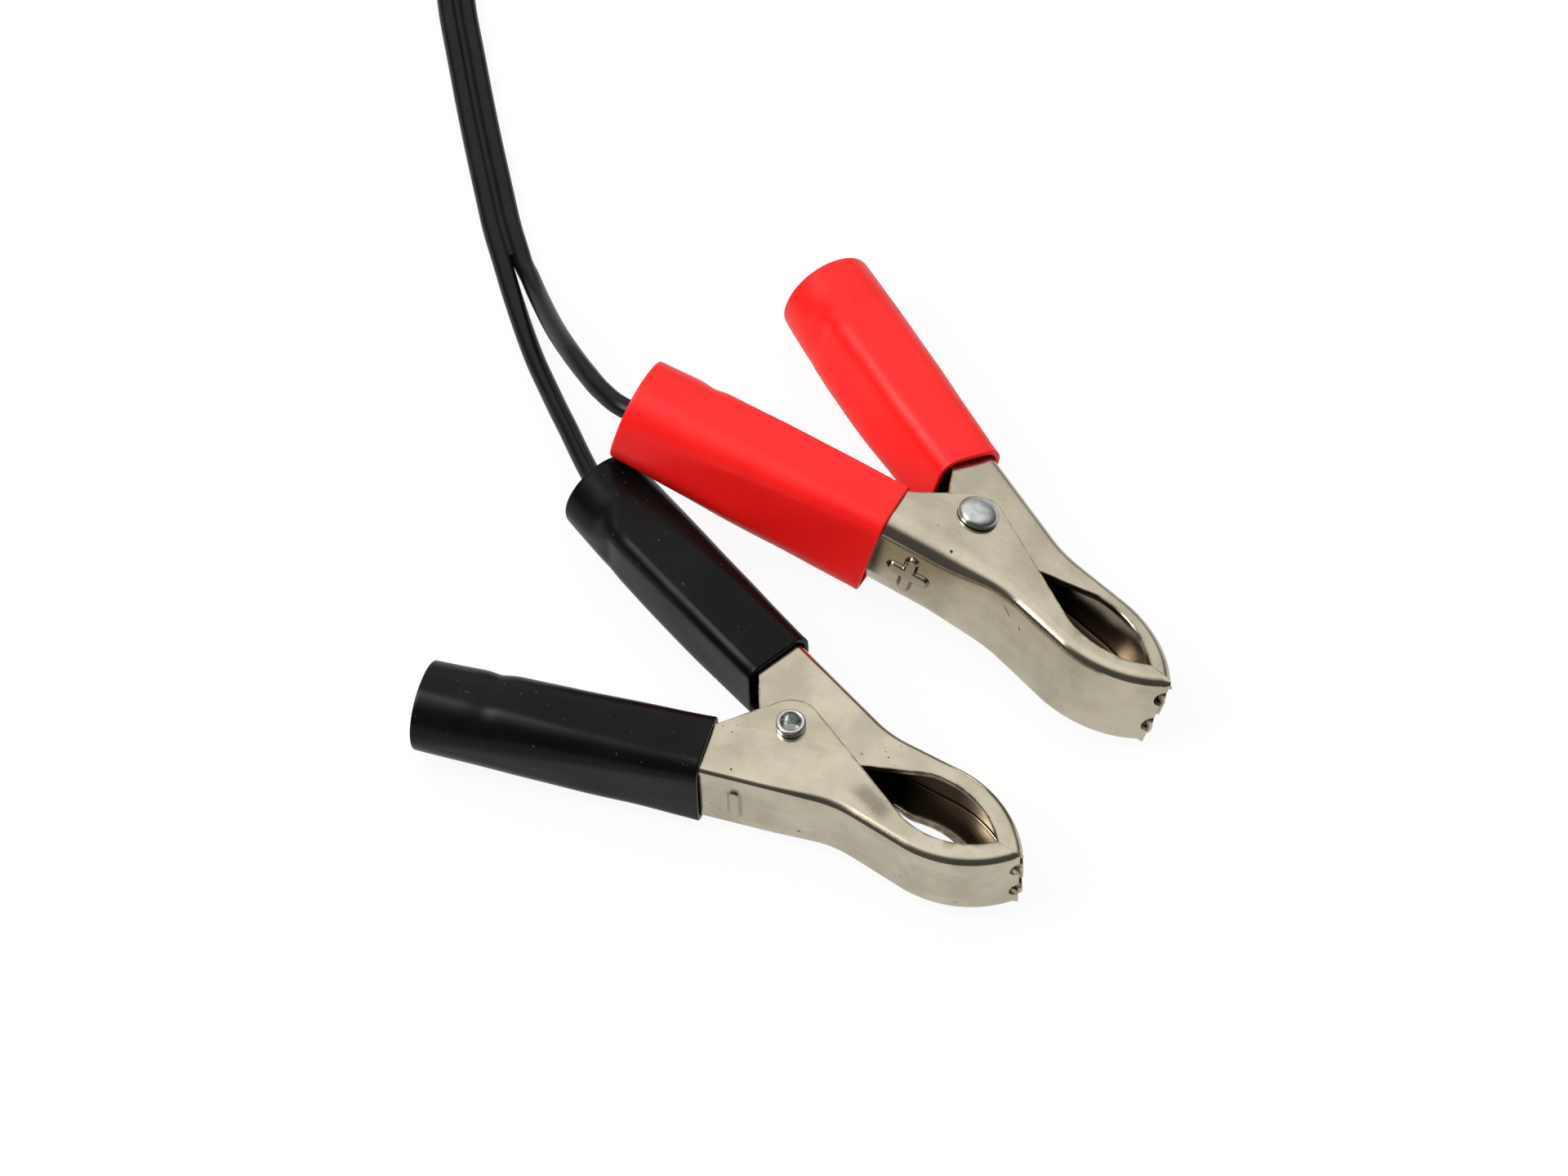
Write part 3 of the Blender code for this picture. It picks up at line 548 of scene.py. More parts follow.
lay_leg("black_core", black_frame, INNER, BLACK_LEG_ROUTE, -1, 0)
lay_leg("red_core", red_frame, OUTER, RED_LEG_ROUTE, 1, RED_LEG_DROP)
loops, coil_centre = coil_points()
past_split = SPLIT_PLACE + heading(SPLIT_HEADING) * 2 * CORE
twin_points = smooth_route([SPLIT_PLACE, past_split, *on_bench(TWIN_ROUTE), loops[0]], CORE / 2) + loops[1:]
twin_cord = tube("twin_cord", twin_points, twin_section())
dress(twin_cord, "lead", flex_finish, "cord_vinyl", "twin_lead", "lead_coil")
twin_length = polyline_length(twin_points)
print("twin cord", round(twin_length, 3), "m")

# %% [markdown]
# ## Nickel plate
# The jaws are stamped steel with a warm nickel plate. It mirrors the room softly: the plate is a
# little cloudy, the sheet is not quite flat, and it has fine rubbed lines and small dark pits. A dark
# line of dirt and painted shade runs along the cut edges and round the pressed marks, and the inside
# of the sheet is painted darker as shade. The jaw with the minus has a dark smear by its mouth, and
# the one with the plus has two coppery scratches where the plate is gone. One function makes all three
# plates, and the marks and strokes are drawn by arithmetic on the flat sheet's map.

# %% Marks and strokes on the plate
MINUS, PLUS = 1, 2
MARK_RUN = {MINUS: 12.7 * MM, PLUS: 12.1 * MM}
MARK_ASIDE = {MINUS: 0.0, PLUS: -0.3 * MM}
MARK_REACH = 2.1 * MM
MARK_HALF = 0.75 * MM
OUTLINE_DIRT_AND_SHADE_WIDTH = 0.34 * MM
EDGE_DIRT_AND_SHADE_WIDTH = 0.45 * MM
SMUDGE_START = 50 * MM
SMUDGE_EASE = 6 * MM
SCRATCH_START = (44.9 * MM, 3.5 * MM)
SCRATCH_END = (47.0 * MM, 2.1 * MM)
NICK_START = (48.3 * MM, 2.2 * MM)
NICK_END = (48.7 * MM, 1.5 * MM)
SCRATCH_WIDTH = 0.16 * MM
SMEAR_START = (44.6 * MM, 9.2 * MM)
SMEAR_END = (52.0 * MM, 7.2 * MM)
SMEAR_WIDTH = 1.7 * MM


def distance(x, y):
    return (x * x + y * y) ** 0.5


def mark_outline(along, aside, arms):
    """1 on the line of dirt and painted shade round the polarity mark, 0 away from it."""
    x = abs(along - (HANDLE_RUN - MARK_RUN[arms]) * UV_PER_METRE)
    y = abs(aside - MARK_ASIDE[arms] * UV_PER_METRE)
    reach = MARK_REACH * UV_PER_METRE
    far = distance(x, (y - reach).at_least(0.0))
    if arms == PLUS:
        far = far.math("MINIMUM", far, distance(y, (x - reach).at_least(0.0)))
    width = OUTLINE_DIRT_AND_SHADE_WIDTH * UV_PER_METRE
    return abs(far - MARK_HALF * UV_PER_METRE).rise(width, width * 0.2)


def stroke(plate, flat, start, end, width):
    """1 on a short stroke of the flat sheet with ragged sides, 0 away from it."""
    start, end = Vector(start) * UV_PER_METRE, Vector(end) * UV_PER_METRE
    way = (end - start).normalized()
    middle = (start + end) / 2
    x, y = plate.parts(flat)
    x, y = x - middle.x, y - middle.y
    along = x * way.x + y * way.y
    aside = y * way.x - x * way.y
    ragged = plate.cloud(flat, 0.9 / width, 2.0)
    length = (end - start).length / 2
    width = width * UV_PER_METRE
    near = abs(aside + (ragged - 0.5) * width * 1.5).rise(width, width * 0.3)
    return abs(along).rise(length, length * 0.35) * near


# %% Metal finishes
def make_nickel(name, arms=0):
    plate = Finish(name, Metallic=1.0)
    places = plate.coordinates()
    flat = plate.sheet(FLAT)
    along, aside = plate.parts(flat)
    cloud = plate.cloud(places, 130.0, 4.0, 0.6)
    stain = plate.cloud(places, 420.0, 3.0, 0.6).rise(0.52, 0.72)
    rubbed = plate.cloud(plate.stretched(flat, (14.0, 420.0, 1.0)), 1.0, 2.0)
    streaks = plate.cloud(plate.stretched(flat, (7.0, 75.0, 1.0)), 1.0, 3.0, 0.6)
    mottle = cloud * 0.85 + streaks * 0.15
    colour = plate.mix(mottle.rise(0.34, 0.66), (0.66, 0.60, 0.465, 1), (0.50, 0.45, 0.34, 1))
    colour = plate.mix(stain * 0.5, colour, (0.62, 0.53, 0.38, 1))

    on_cheek = abs(aside).rise(0.062, 0.080)
    mouth = SMUDGE_START * UV_PER_METRE
    near_mouth = along.rise(mouth, mouth + SMUDGE_EASE * UV_PER_METRE) * on_cheek
    smudge = plate.cloud(places, 300.0, 2.0, 0.55).rise(0.52, 0.66) * near_mouth
    colour = plate.mix(smudge * 0.55, colour, (0.20, 0.17, 0.14, 1))
    # Painted shade: the inside of the sheet, round the channel under the web, is coloured darker.
    inside = aside.rise(0.35, 0.40)
    colour = plate.mix(inside, colour, (0.27, 0.225, 0.17, 1))
    patches = plate.cloud(places, 95.0, 1.0).rise(0.50, 0.62)
    pits = plate.cloud(places, 1300.0, 1.0).rise(0.755, 0.775) * patches
    colour = plate.mix(pits, colour, (0.05, 0.04, 0.03, 1))
    rough = 0.11 + streaks * 0.06 + rubbed * 0.06 + pits * 0.4

    # Dirt, and the painted shade of the narrow gap where one cheek lies on the other: a dark line along the
    # cut edges.
    margin = plate.parts(plate.sheet(MARGIN))[0]
    uneven = 0.25 + plate.cloud(places, 600.0, 2.0).rise(0.4, 0.6) * 0.6
    edge_dirt_and_shade = margin.rise(EDGE_DIRT_AND_SHADE_WIDTH * UV_PER_METRE, 0.0) * uneven
    colour = plate.mix(edge_dirt_and_shade, colour, (0.09, 0.065, 0.035, 1))
    # Dirt, and painted shade at the foot of the raised mark: a dark line round the polarity mark.
    if arms:
        mark_dirt_and_shade = mark_outline(along, aside, arms) * (0.30 * arms + stain * 0.3)
        colour = plate.mix(mark_dirt_and_shade, colour, (0.10, 0.075, 0.045, 1))
    if arms == MINUS:
        smear = stroke(plate, flat, SMEAR_START, SMEAR_END, SMEAR_WIDTH)
        colour = plate.mix(smear * 0.7, colour, (0.20, 0.17, 0.135, 1))
    if arms == PLUS:
        bare = (stroke(plate, flat, SCRATCH_START, SCRATCH_END, SCRATCH_WIDTH)
                + stroke(plate, flat, NICK_START, NICK_END, SCRATCH_WIDTH))
        colour = plate.mix(bare.rise(0.2, 0.9), colour, (0.50, 0.20, 0.10, 1))
        rough = rough + bare * 0.2
    hills = plate.bump(plate.cloud(places, 120.0, 1.0), 0.12 * MM, 0.40)
    plate.put(Base_Color=colour, Roughness=rough,
              Normal=plate.bump(rubbed, 0.004 * MM, 0.5, hills))
    return plate


def make_metal(name, colour, roughness, spread, scale):
    """A plain metal with cloudy roughness and faint hills."""
    metal = Finish(name, Metallic=1.0)
    places = metal.coordinates()
    cloud = metal.cloud(places, scale, 3.0)
    dull = tuple(channel * 0.72 for channel in colour[:3]) + (1,)
    metal.put(Base_Color=metal.mix(cloud.rise(0.4, 0.75), colour, dull),
              Roughness=roughness + cloud * spread,
              Normal=metal.bump(cloud, 0.02 * MM, 0.4))
    return metal


nickel_finish = make_nickel("nickel_plate")
minus_finish = make_nickel("minus_nickel_plate", MINUS)
plus_finish = make_nickel("plus_nickel_plate", PLUS)
zinc_finish = make_metal("zinc_plate", (0.62, 0.64, 0.62, 1), 0.14, 0.26, 900.0)
spring_finish = make_metal("spring_wire", (0.40, 0.40, 0.41, 1), 0.25, 0.2, 700.0)
brass_finish = make_metal("turned_brass", (0.72, 0.55, 0.27, 1), 0.18, 0.2, 500.0)
copper_finish = make_metal("bare_copper", (0.72, 0.36, 0.20, 1), 0.28, 0.2, 900.0)
tin_finish = make_metal("tinned_ferrule", (0.66, 0.66, 0.64, 1), 0.30, 0.2, 600.0)

# %% [markdown]
# ## The jaws
# A jaw is one piece of sheet: a back, called the web here, with a cheek folded down on each side.
# It could be cut from a block, but the real one is bent, so a grid is bent the same way: each row
# runs from one cheek's cut edge, round the fold, over the web and down the other cheek, and back along
# the inside of the sheet. The mark that tells the poles apart is pressed up by moving grid points out.

# %% Lines of the stamping, seen along the rivet
JAW_WIDTH = 11.2 * MM
INNER_WIDTH = JAW_WIDTH - 2 * (SHEET + 0.25 * MM)
FOLD_RADIUS = 1.4 * MM
HANDLE_FOLD = {0: 1.4 * MM, MINUS: 0.9 * MM, PLUS: 2.6 * MM}
FOLD_EASE = 9.0 * MM
NOSE = Vector((33.7, 0.15)) * MM
NOSE_EDGE = 0.35 * MM
LIP_LENGTH = 3.5 * MM
NOSE_FLARE = 0.6 * MM
LOWER_LIP = 2.3 * MM
LOWER_LIP_SPAN = (12.0 * MM, 33.0 * MM)
BROW = Vector((21.0, 7.15)) * MM
WAIST = Vector((WAIST_REACH, WAIST_HEIGHT))
WAIST_EASE = 2.5 * MM
MOUTH = {OUTER: Vector((18.6, 3.5)) * MM, INNER: Vector((18.0, 4.1)) * MM}
MOUTH_CROWN = 1.75 * MM
EAR_RADIUS = 3.9 * MM
NECK_RUN = 17.0 * MM
HANDLE_SLIMMING = 0.6
NECK_HEIGHT = 7.4 * MM
TAIL_HEIGHT = 5.0 * MM


def crowned_arc(start, end, crown, steps):
    """An arc that rises by crown to the left of its chord, as (place, left-hand normal) pairs."""
    chord = end - start
    left = Vector((-chord.y, chord.x)).normalized()
    radius = (chord.length ** 2 / 4 + crown ** 2) / (2 * crown)
    centre = (start + end) / 2 + left * (crown - radius)
    half = math.asin(chord.length / 2 / radius)
    middle = math.atan2(left.y, left.x)
    normals = []
    for i in range(steps + 1):
        angle = middle + half - 2 * half * i / steps
        normals.append(Vector((math.cos(angle), math.sin(angle))))
    return [(centre + normal * radius, normal) for normal in normals]


def web_stations():
    """Places down the outside of the web, from the handle's end to the nose, with the way in."""
    hidden = [HANDLE_RUN + (NECK_RUN - HANDLE_RUN) * i / 24 for i in range(24)]
    shown = [NECK_RUN + (WAIST_EASE - NECK_RUN) * i / 110 for i in range(110)]
    inward = handle_point(0, 1) - handle_point(0, 0)
    stations = [(handle_point(run, 0), inward) for run in hidden + shown]
    before, after = handle_point(WAIST_EASE, 0), WAIST + (BROW - WAIST).normalized() * WAIST_EASE
    for i in range(12):
        t = i / 12
        place = before * (1 - t) ** 2 + WAIST * 2 * t * (1 - t) + after * t ** 2
        way = ((WAIST - before) * (1 - t) + (after - WAIST) * t).normalized()
        stations.append((place, Vector((way.y, -way.x))))
    way = (BROW - WAIST).normalized()
    stations += [(after.lerp(BROW, i / 20), Vector((way.y, -way.x))) for i in range(20)]
    tip = NOSE + Vector((0, NOSE_EDGE))
    drop = tip - BROW
    crown = drop.length / 2 * math.tan(math.atan2(-drop.y, drop.x) / 2)
    return stations + [(place, -normal) for place, normal in crowned_arc(BROW, tip, crown, 44)]


def tangent_angle(place, radius, side):
    return math.atan2(place.y, place.x) + side * math.acos(radius / place.length)


def cut_edge(side):
    """The cheeks' cut edge, from past the nose to past the handle's end."""
    lip = NOSE - Vector((LIP_LENGTH, 0))
    neck = handle_point(NECK_RUN, NECK_HEIGHT)
    first = tangent_angle(MOUTH[side], EAR_RADIUS, -1)
    last = tangent_angle(neck, EAR_RADIUS, 1) - 2 * math.pi
    turns = [first + (last - first) * i / 40 for i in range(41)]
    ear = [Vector((math.cos(a), math.sin(a))) * EAR_RADIUS for a in turns]
    mouth = [place for place, _ in crowned_arc(MOUTH[side], lip, MOUTH_CROWN, 40)]
    slope = (TAIL_HEIGHT - NECK_HEIGHT) / (HANDLE_RUN - NECK_RUN)
    end = handle_point(HANDLE_RUN + MM, TAIL_HEIGHT + slope * MM)
    return [NOSE + Vector((2 * MM, 0)), *reversed(mouth), *ear, neck, end]


def cheek_depth(place, inward, edge):
    """How far in from the web the cheek is cut."""
    far = place + inward * 30 * MM
    hits = [geometry.intersect_line_line_2d(place, far, a, b) for a, b in zip(edge, edge[1:])]
    return min([(hit - place).length for hit in hits if hit] or [0.0])


# %% Bend a jaw and cut its hole and nose
MARK_EASE = 0.15 * MM
MARK_RAISE = 0.40 * MM
HOLE = 3.3 * MM
NOTCH_RADIUS = 1.3 * MM
NOTCH_SPREAD = 4.9 * MM
CHEEK_STEPS, FOLD_STEPS, WEB_STEPS = 14, 8, 64
INSIDE_CHEEK_STEPS, INSIDE_WEB_STEPS = 6, 12
INSIDE_FOLD = 0.25 * MM
INSIDE_ASIDE = 60 * MM
EDGE_ROUND = 0.10 * MM


def mark_height(run, across, arms):
    """How far the polarity mark is pressed out at a place on the web."""
    x, y = abs(run - MARK_RUN[arms]), abs(across - MARK_ASIDE[arms])
    far = math.hypot(x, max(0.0, y - MARK_REACH))
    if arms == PLUS:
        far = min(far, math.hypot(y, max(0.0, x - MARK_REACH)))
    return MARK_RAISE * eased((MARK_HALF + MARK_EASE - far) / (2 * MARK_EASE))


def channel_side(depth, floor, half, fold, edge, steps):
    """Half of a channel: (depth, across) from the cut edge up the cheek and round the fold."""
    fold = min(fold, depth - floor)
    edge = min(edge, (depth - floor) / 2)
    places = [(depth, half - edge if floor == 0 else half + edge)]
    low = depth - edge
    places += [(low + (floor + fold - low) * i / steps, half) for i in range(steps)]
    for i in range(FOLD_STEPS):
        angle = math.pi / 2 * i / FOLD_STEPS
        places.append((floor + fold - fold * math.sin(angle), half - fold + fold * math.cos(angle)))
    return places, half - fold


def mirrored(side, half, floor, steps):
    """A whole channel from one side of it, with the web between."""
    web = [(floor, half * (1 - 2 * i / steps)) for i in range(steps + 1)]
    return side + web + [(deep, -across) for deep, across in reversed(side)]


def section_corners(depth, half, fold):
    """(depth, across, distance from the web's middle) round the sheet's cross-section."""
    outside = mirrored(*channel_side(depth, 0, half, fold, EDGE_ROUND, CHEEK_STEPS), 0, WEB_STEPS)
    floor = min(SHEET, depth)
    inside = mirrored(*channel_side(depth, floor, half - SHEET, INSIDE_FOLD, EDGE_ROUND, INSIDE_CHEEK_STEPS),
                      floor, INSIDE_WEB_STEPS)
    full = outside + inside[::-1] + outside[:1]
    reach = [0.0]
    for (a, b), (c, d) in zip(full, full[1:]):
        reach.append(reach[-1] + math.hypot(c - a, d - b))
    middle = reach[len(outside) - 1] / 2
    asides = [middle - far for far in reach[:len(outside)]]
    # The inside of the sheet gets asides from INSIDE_ASIDE up, so that the plate's finish can paint shade on
    # it.
    asides += [INSIDE_ASIDE + far for far in reach[len(outside):]]
    return [(a, b, aside) for (a, b), aside in zip(full, asides)]


def handle_narrowing(run, width):
    """How much slimmer a wide handle is under its sleeve, at a run back from the waist."""
    share = max(0.0, (run - NECK_RUN) / (HANDLE_RUN - NECK_RUN))
    return max(0.0, width - INNER_WIDTH) * HANDLE_SLIMMING * share


def flare(place):
    """How much further the lower cheek stands out at the nose than at the waist."""
    return NOSE_FLARE * eased((place.x - WAIST_REACH) / (NOSE.x - WAIST_REACH))


def lower_lip(place):
    """How much further the inner jaw's lower cheek reaches into the mouth than its upper one."""
    start, end = LOWER_LIP_SPAN
    return LOWER_LIP * eased((place.x - start) / (6 * MM)) * eased((end - place.x) / (6 * MM))


def bend_jaw(name, clip, side, width, arms):
    edge = cut_edge(side)
    rows, flats, margins = [], [], []
    walked = 0.0
    last = None
    for place, inward in web_stations():
        walked += (place - last).length if last else 0.0
        last = place
        depth = cheek_depth(place, inward, edge)
        row, flat, margin = [], [], []
        slim = handle_narrowing(HANDLE_RUN - walked, width)
        fold = FOLD_RADIUS + (HANDLE_FOLD[arms] - FOLD_RADIUS) * eased((WAIST_REACH - place.x) / FOLD_EASE)
        for deep, across, aside in section_corners(depth, (width - slim) / 2, fold):
            margin.append((depth - deep, 0.0))
            if arms and deep < SHEET / 2:
                deep -= mark_height(HANDLE_RUN - walked, across, arms)
            if across < 0:
                across *= 1 + 2 * flare(place) / width
                if side == INNER and deep > 2 * SHEET:
                    deep += lower_lip(place) * (deep - 2 * SHEET) / (depth - 2 * SHEET)
            point = place + inward * deep
            point = Vector((point.x, side * point.y, across))
            row.append(clip @ point)
            flat.append((walked, aside))
        rows.append(row)
        flats.append(flat)
        margins.append(margin)
    jaw = bend_grid(name, rows, flats, margins)
    edit_all(jaw, close_ends, face_out)
    return jaw


def cut(piece, cutter, operation="DIFFERENCE"):
    apply(piece, "BOOLEAN", object=cutter, operation=operation, solver="MANIFOLD")
    bpy.data.objects.remove(cutter, do_unlink=True)


def drill(clip, place, way, radius, length, sides=40):
    """A rod to cut with, in a clip's frame."""
    tool = add(bpy.ops.mesh.primitive_cylinder_add, vertices=sides, radius=radius, depth=length)
    tool.matrix_world = clip @ Matrix.Translation(place) @ way.to_track_quat("Z", "Y").to_matrix().to_4x4()
    return settle(tool)


def make_jaw(name, clip, side, width, arms, body, finish):
    jaw = bend_jaw(name, clip, side, width, arms)
    cut(jaw, drill(clip, Vector(), Vector((0, 0, 1)), HOLE / 2, 2 * width))
    (before, _), (tip, _) = web_stations()[-2:]
    square = Vector((before.y - tip.y, side * (tip.x - before.x), 0))
    for across in (-NOTCH_SPREAD / 2, NOTCH_SPREAD / 2):
        cut(jaw, drill(clip, Vector((tip.x, side * tip.y, across)), square, NOTCH_RADIUS, 6 * SHEET, 28))
    soften(jaw, 40)
    dress(jaw, body, finish, "nickel_steel", name.replace("_sheet", "_jaw"))


make_jaw("black_outer_sheet", black_frame, OUTER, JAW_WIDTH, MINUS, "black_outer_half", minus_finish)
make_jaw("black_inner_sheet", black_frame, INNER, INNER_WIDTH, 0, "lead", nickel_finish)
make_jaw("red_outer_sheet", red_frame, OUTER, JAW_WIDTH, PLUS, "lead", plus_finish)
make_jaw("red_inner_sheet", red_frame, INNER, INNER_WIDTH, 0, "red_inner_half", nickel_finish)

# %% [markdown]
# ## The sleeves
# A sleeve is a soft tube pushed over a handle. In front it takes the channel's boxy section, and its
# free tail springs back to a round tube. Where the handle ends inside, the soft wall dips in a crease.
# Each row of the grid is one ring, part box and part circle, and Solidify gives the ring its wall.

# %% Soft sleeves
SLEEVE_FRONT_RUN = 17.3 * MM
SLEEVE_KINK = 5.0 * MM
SLEEVE_WALL = 0.7 * MM
SLEEVE_FIT = 0.2 * MM
SLEEVE_SLACK = 0.4 * MM
SLEEVE_CORNER = 1.9 * MM
BLACK_TAIL = 11.4 * MM
RED_TAIL = 12.8 * MM
RED_SHORTER = 1.1 * MM
SLEEVE_RIDGE = {BLACK_TAIL: 1.0 * MM, RED_TAIL: 1.8 * MM}
FLANK_SLACK = {BLACK_TAIL: 0.7 * MM, RED_TAIL: 1.4 * MM}
CORNER_STEPS = 11
SIDE_STEPS = 7
RING_ROWS = 76


def boxed_ring(half_deep, half_wide, corner, ridge=None):
    """Places round a rectangle with rounded corners, in the same order for every size of it.

    The upper corner on the deep side is rounded by ridge where it is given."""
    arcs = []
    for quarter, (a, b) in enumerate(((1, 1), (-1, 1), (-1, -1), (1, -1))):
        radius = ridge if ridge and quarter == 0 else corner
        middle = Vector((a * (half_deep - radius), b * (half_wide - radius)))
        turns = [math.pi / 2 * (quarter + i / CORNER_STEPS) for i in range(CORNER_STEPS + 1)]
        arcs.append([middle + Vector((math.cos(turn), math.sin(turn))) * radius for turn in turns])
    ring = []
    for arc, after in zip(arcs, arcs[1:] + arcs[:1]):
        ring += arc
        ring += [arc[-1].lerp(after[0], i / SIDE_STEPS) for i in range(1, SIDE_STEPS)]
    return ring


def sleeve_ring(run, side, width, tail, sag):
    """The sleeve's inner wall at one run, and how deep its middle lies under the web."""
    share = min(1.0, (run - SLEEVE_FRONT_RUN) / (SLEEVE_END_RUN - SLEEVE_FRONT_RUN))
    behind = eased((run - HANDLE_RUN) / SLEEVE_KINK)
    radius = tail / 2 - SLEEVE_WALL
    front_half = (NECK_HEIGHT + SLEEVE_SLACK + SLEEVE_FIT) / 2
    half_deep = front_half + (radius - front_half) * share
    half_wide = (width / 2 + SLEEVE_FIT) * (1 - share) + radius * share + sag / 2
    middle = (front_half - SLEEVE_FIT) * (1 - share) + TAIL_DEPTH * share
    round_half = min(half_deep, half_wide)
    corner = SLEEVE_CORNER + (round_half - SLEEVE_CORNER) * share
    ridge = SLEEVE_RIDGE[tail] + (corner - SLEEVE_RIDGE[tail]) * max(behind, 0.12 * share)
    ring = boxed_ring(half_deep, half_wide, corner, ridge if side == INNER else corner)
    if side == INNER:
        slack = FLANK_SLACK[tail] * math.sin(math.pi * share) ** 0.7
        for place in ring:
            place.x += slack * max(0.0, place.x / half_deep) * (1 - place.y / half_wide) / 2
    return [place + Vector((middle, -sag / 2)) for place in ring], middle


def puff(run, angle, seed):
    """How far the soft wall stands off: a crease behind the handle's end, and long slack waves."""
    crease = 0.25 * MM * math.exp(-((run - HANDLE_RUN - 1.0 * MM) / (1.3 * MM)) ** 2)
    place = Vector((math.cos(angle) * 1.3, math.sin(angle) * 1.3, run / (9 * MM) + seed))
    wave = 0.5 + 0.5 * noise.noise(place)
    rim = 0.10 * MM * math.exp(-(run - SLEEVE_FRONT_RUN) / (1.2 * MM))
    return 0.25 * MM * wave + rim - crease * max(0.0, math.cos(angle - 0.8))


def make_sleeve(name, clip, side, width, tail, sag, seed, body, finish, slot):
    rows, flats = [], []
    end = SLEEVE_END_RUN - (RED_SHORTER if tail == RED_TAIL else 0)
    for i in range(RING_ROWS + 1):
        run = SLEEVE_FRONT_RUN + (end - SLEEVE_FRONT_RUN) * i / RING_ROWS
        ring, middle = sleeve_ring(run, side, width, tail, sag)
        row = []
        for place in ring:
            off = (place - Vector((middle, 0))).normalized()
            place = place + off * puff(run, math.atan2(off.y, off.x), seed)
            row.append(in_handle(clip, side, run, place.x, place.y))
        rows.append(row + row[:1])
        flats.append([(run, tail * math.pi * step / len(ring)) for step in range(len(ring) + 1)])
    sleeve = bend_grid(name, rows, flats)
    edit_all(sleeve, face_out)
    apply(sleeve, "SOLIDIFY", thickness=SLEEVE_WALL, offset=1, use_even_offset=True)
    apply(sleeve, "BEVEL", width=0.16 * MM, segments=3, limit_method="ANGLE",
          angle_limit=math.radians(60), use_clamp_overlap=True)
    soften(sleeve, 50)
    dress(sleeve, body, finish, slot, name.replace("_sleeve", "_grip"))


# %% Red PVC and the four sleeves
def make_sleeve_red():
    vinyl = Finish("sleeve_red_pvc", Specular_IOR_Level=0.35, Subsurface_Weight=0.08, Subsurface_Scale=0.002)
    places = vinyl.coordinates()
    haze = vinyl.cloud(places, 110.0)
    grain = vinyl.cloud(places, 2200.0)
    vinyl.put(Base_Color=vinyl.mix(haze.rise(0.35, 0.7), (1.0, 0.012, 0.010, 1), (0.94, 0.008, 0.008, 1)),
              Roughness=0.30 + haze * 0.14,
              Normal=vinyl.bump(grain, 0.02 * MM, 0.6))
    return vinyl


red_finish = make_sleeve_red()
make_sleeve("black_outer_sleeve", black_frame, OUTER, JAW_WIDTH, BLACK_TAIL, 0, 1.7, "black_outer_half",
            black_finish, "black_vinyl")
make_sleeve("black_inner_sleeve", black_frame, INNER, INNER_WIDTH, BLACK_TAIL, 0, 5.2, "lead",
            black_finish, "black_vinyl")
make_sleeve("red_outer_sleeve", red_frame, OUTER, JAW_WIDTH, RED_TAIL, 1.0 * MM, 9.4, "lead",
            red_finish, "red_vinyl")
make_sleeve("red_inner_sleeve", red_frame, INNER, INNER_WIDTH, RED_TAIL, 0, 12.6, "red_inner_half",
            red_finish, "red_vinyl")

# %% [markdown]
# ## The rivets
# Each clip turns on a rivet with a domed head on one side and a hollow end, rolled over, on the
# other. A turned shape is a profile spun about its axis, as on a lathe.

# %% Spin the rivets
RIVET_SEAT = JAW_WIDTH / 2 + 0.15 * MM
HEAD_RADIUS = 2.7 * MM
HEAD_SIDE = 0.35 * MM
HEAD_RAISE = 1.0 * MM
SHANK_RADIUS = 1.5 * MM
ROLL_RADIUS = 1.9 * MM
ROLL_RAISE = 1.0 * MM
ROLL_BORE = 1.2 * MM
ROLL_DEPTH = 2.6 * MM


def spin(name, profile, place, steps=64):
    """A profile of (radius, height) places turned about Z, then put in its place."""
    piece = add(bpy.ops.mesh.primitive_plane_add, name, size=MM)
    bpy.ops.object.mode_set(mode="EDIT")
    bpy.ops.mesh.select_all(action="SELECT")
    bpy.ops.mesh.merge(type="CENTER")
    bpy.ops.transform.translate(value=(profile[0][0], 0, profile[0][1]))
    for (r, h), (s, k) in zip(profile, profile[1:]):
        bpy.ops.mesh.extrude_region_move(TRANSFORM_OT_translate={"value": (s - r, 0, k - h)})
    bpy.ops.mesh.select_all(action="SELECT")
    bpy.ops.mesh.spin(steps=steps, angle=2 * math.pi, center=(0, 0, 0), axis=(0, 0, 1))
    bpy.ops.object.mode_set(mode="OBJECT")
    edit_all(piece, merge_close, face_out)
    piece.matrix_world = place
    settle(piece)
    soften(piece, 40)
    return piece


def rivet_profile():
    """From the dome's top, down the shank and round the rolled end, to the hollow's floor."""
    end = -RIVET_SEAT - ROLL_RAISE
    lip = (ROLL_RADIUS - ROLL_BORE) / 2
    dome, rim = [], []
    for i in range(9):
        turn = math.pi * i / 8
        height = RIVET_SEAT + HEAD_SIDE + HEAD_RAISE * math.cos(turn / 2)
        dome.append((HEAD_RADIUS * math.sin(turn / 2), height))
        rim.append((ROLL_RADIUS - lip + lip * math.cos(turn), end + lip - lip * math.sin(turn)))
    shank = [(HEAD_RADIUS, RIVET_SEAT), (SHANK_RADIUS, RIVET_SEAT), (SHANK_RADIUS, -RIVET_SEAT),
             (ROLL_RADIUS, -RIVET_SEAT)]
    return [*dome, *shank, *rim, (ROLL_BORE, end + ROLL_DEPTH), (0, end + ROLL_DEPTH + 0.3 * MM)]


def make_rivet(colour, clip, head_up):
    flip = Matrix() if head_up else Matrix.Rotation(math.pi, 4, "X")
    rivet = spin(colour + "_pivot", rivet_profile(), clip @ flip)
    dress(rivet, "lead", zinc_finish, "zinc_steel", colour + "_rivet")


make_rivet("black", black_frame, False)
make_rivet("red", red_frame, True)

# %% [markdown]
# ## The springs
# A torsion spring sits round each rivet, with a leg under each handle's web. It winds up when the
# handles are squeezed, so its mesh blends from one half of the clip to the other.

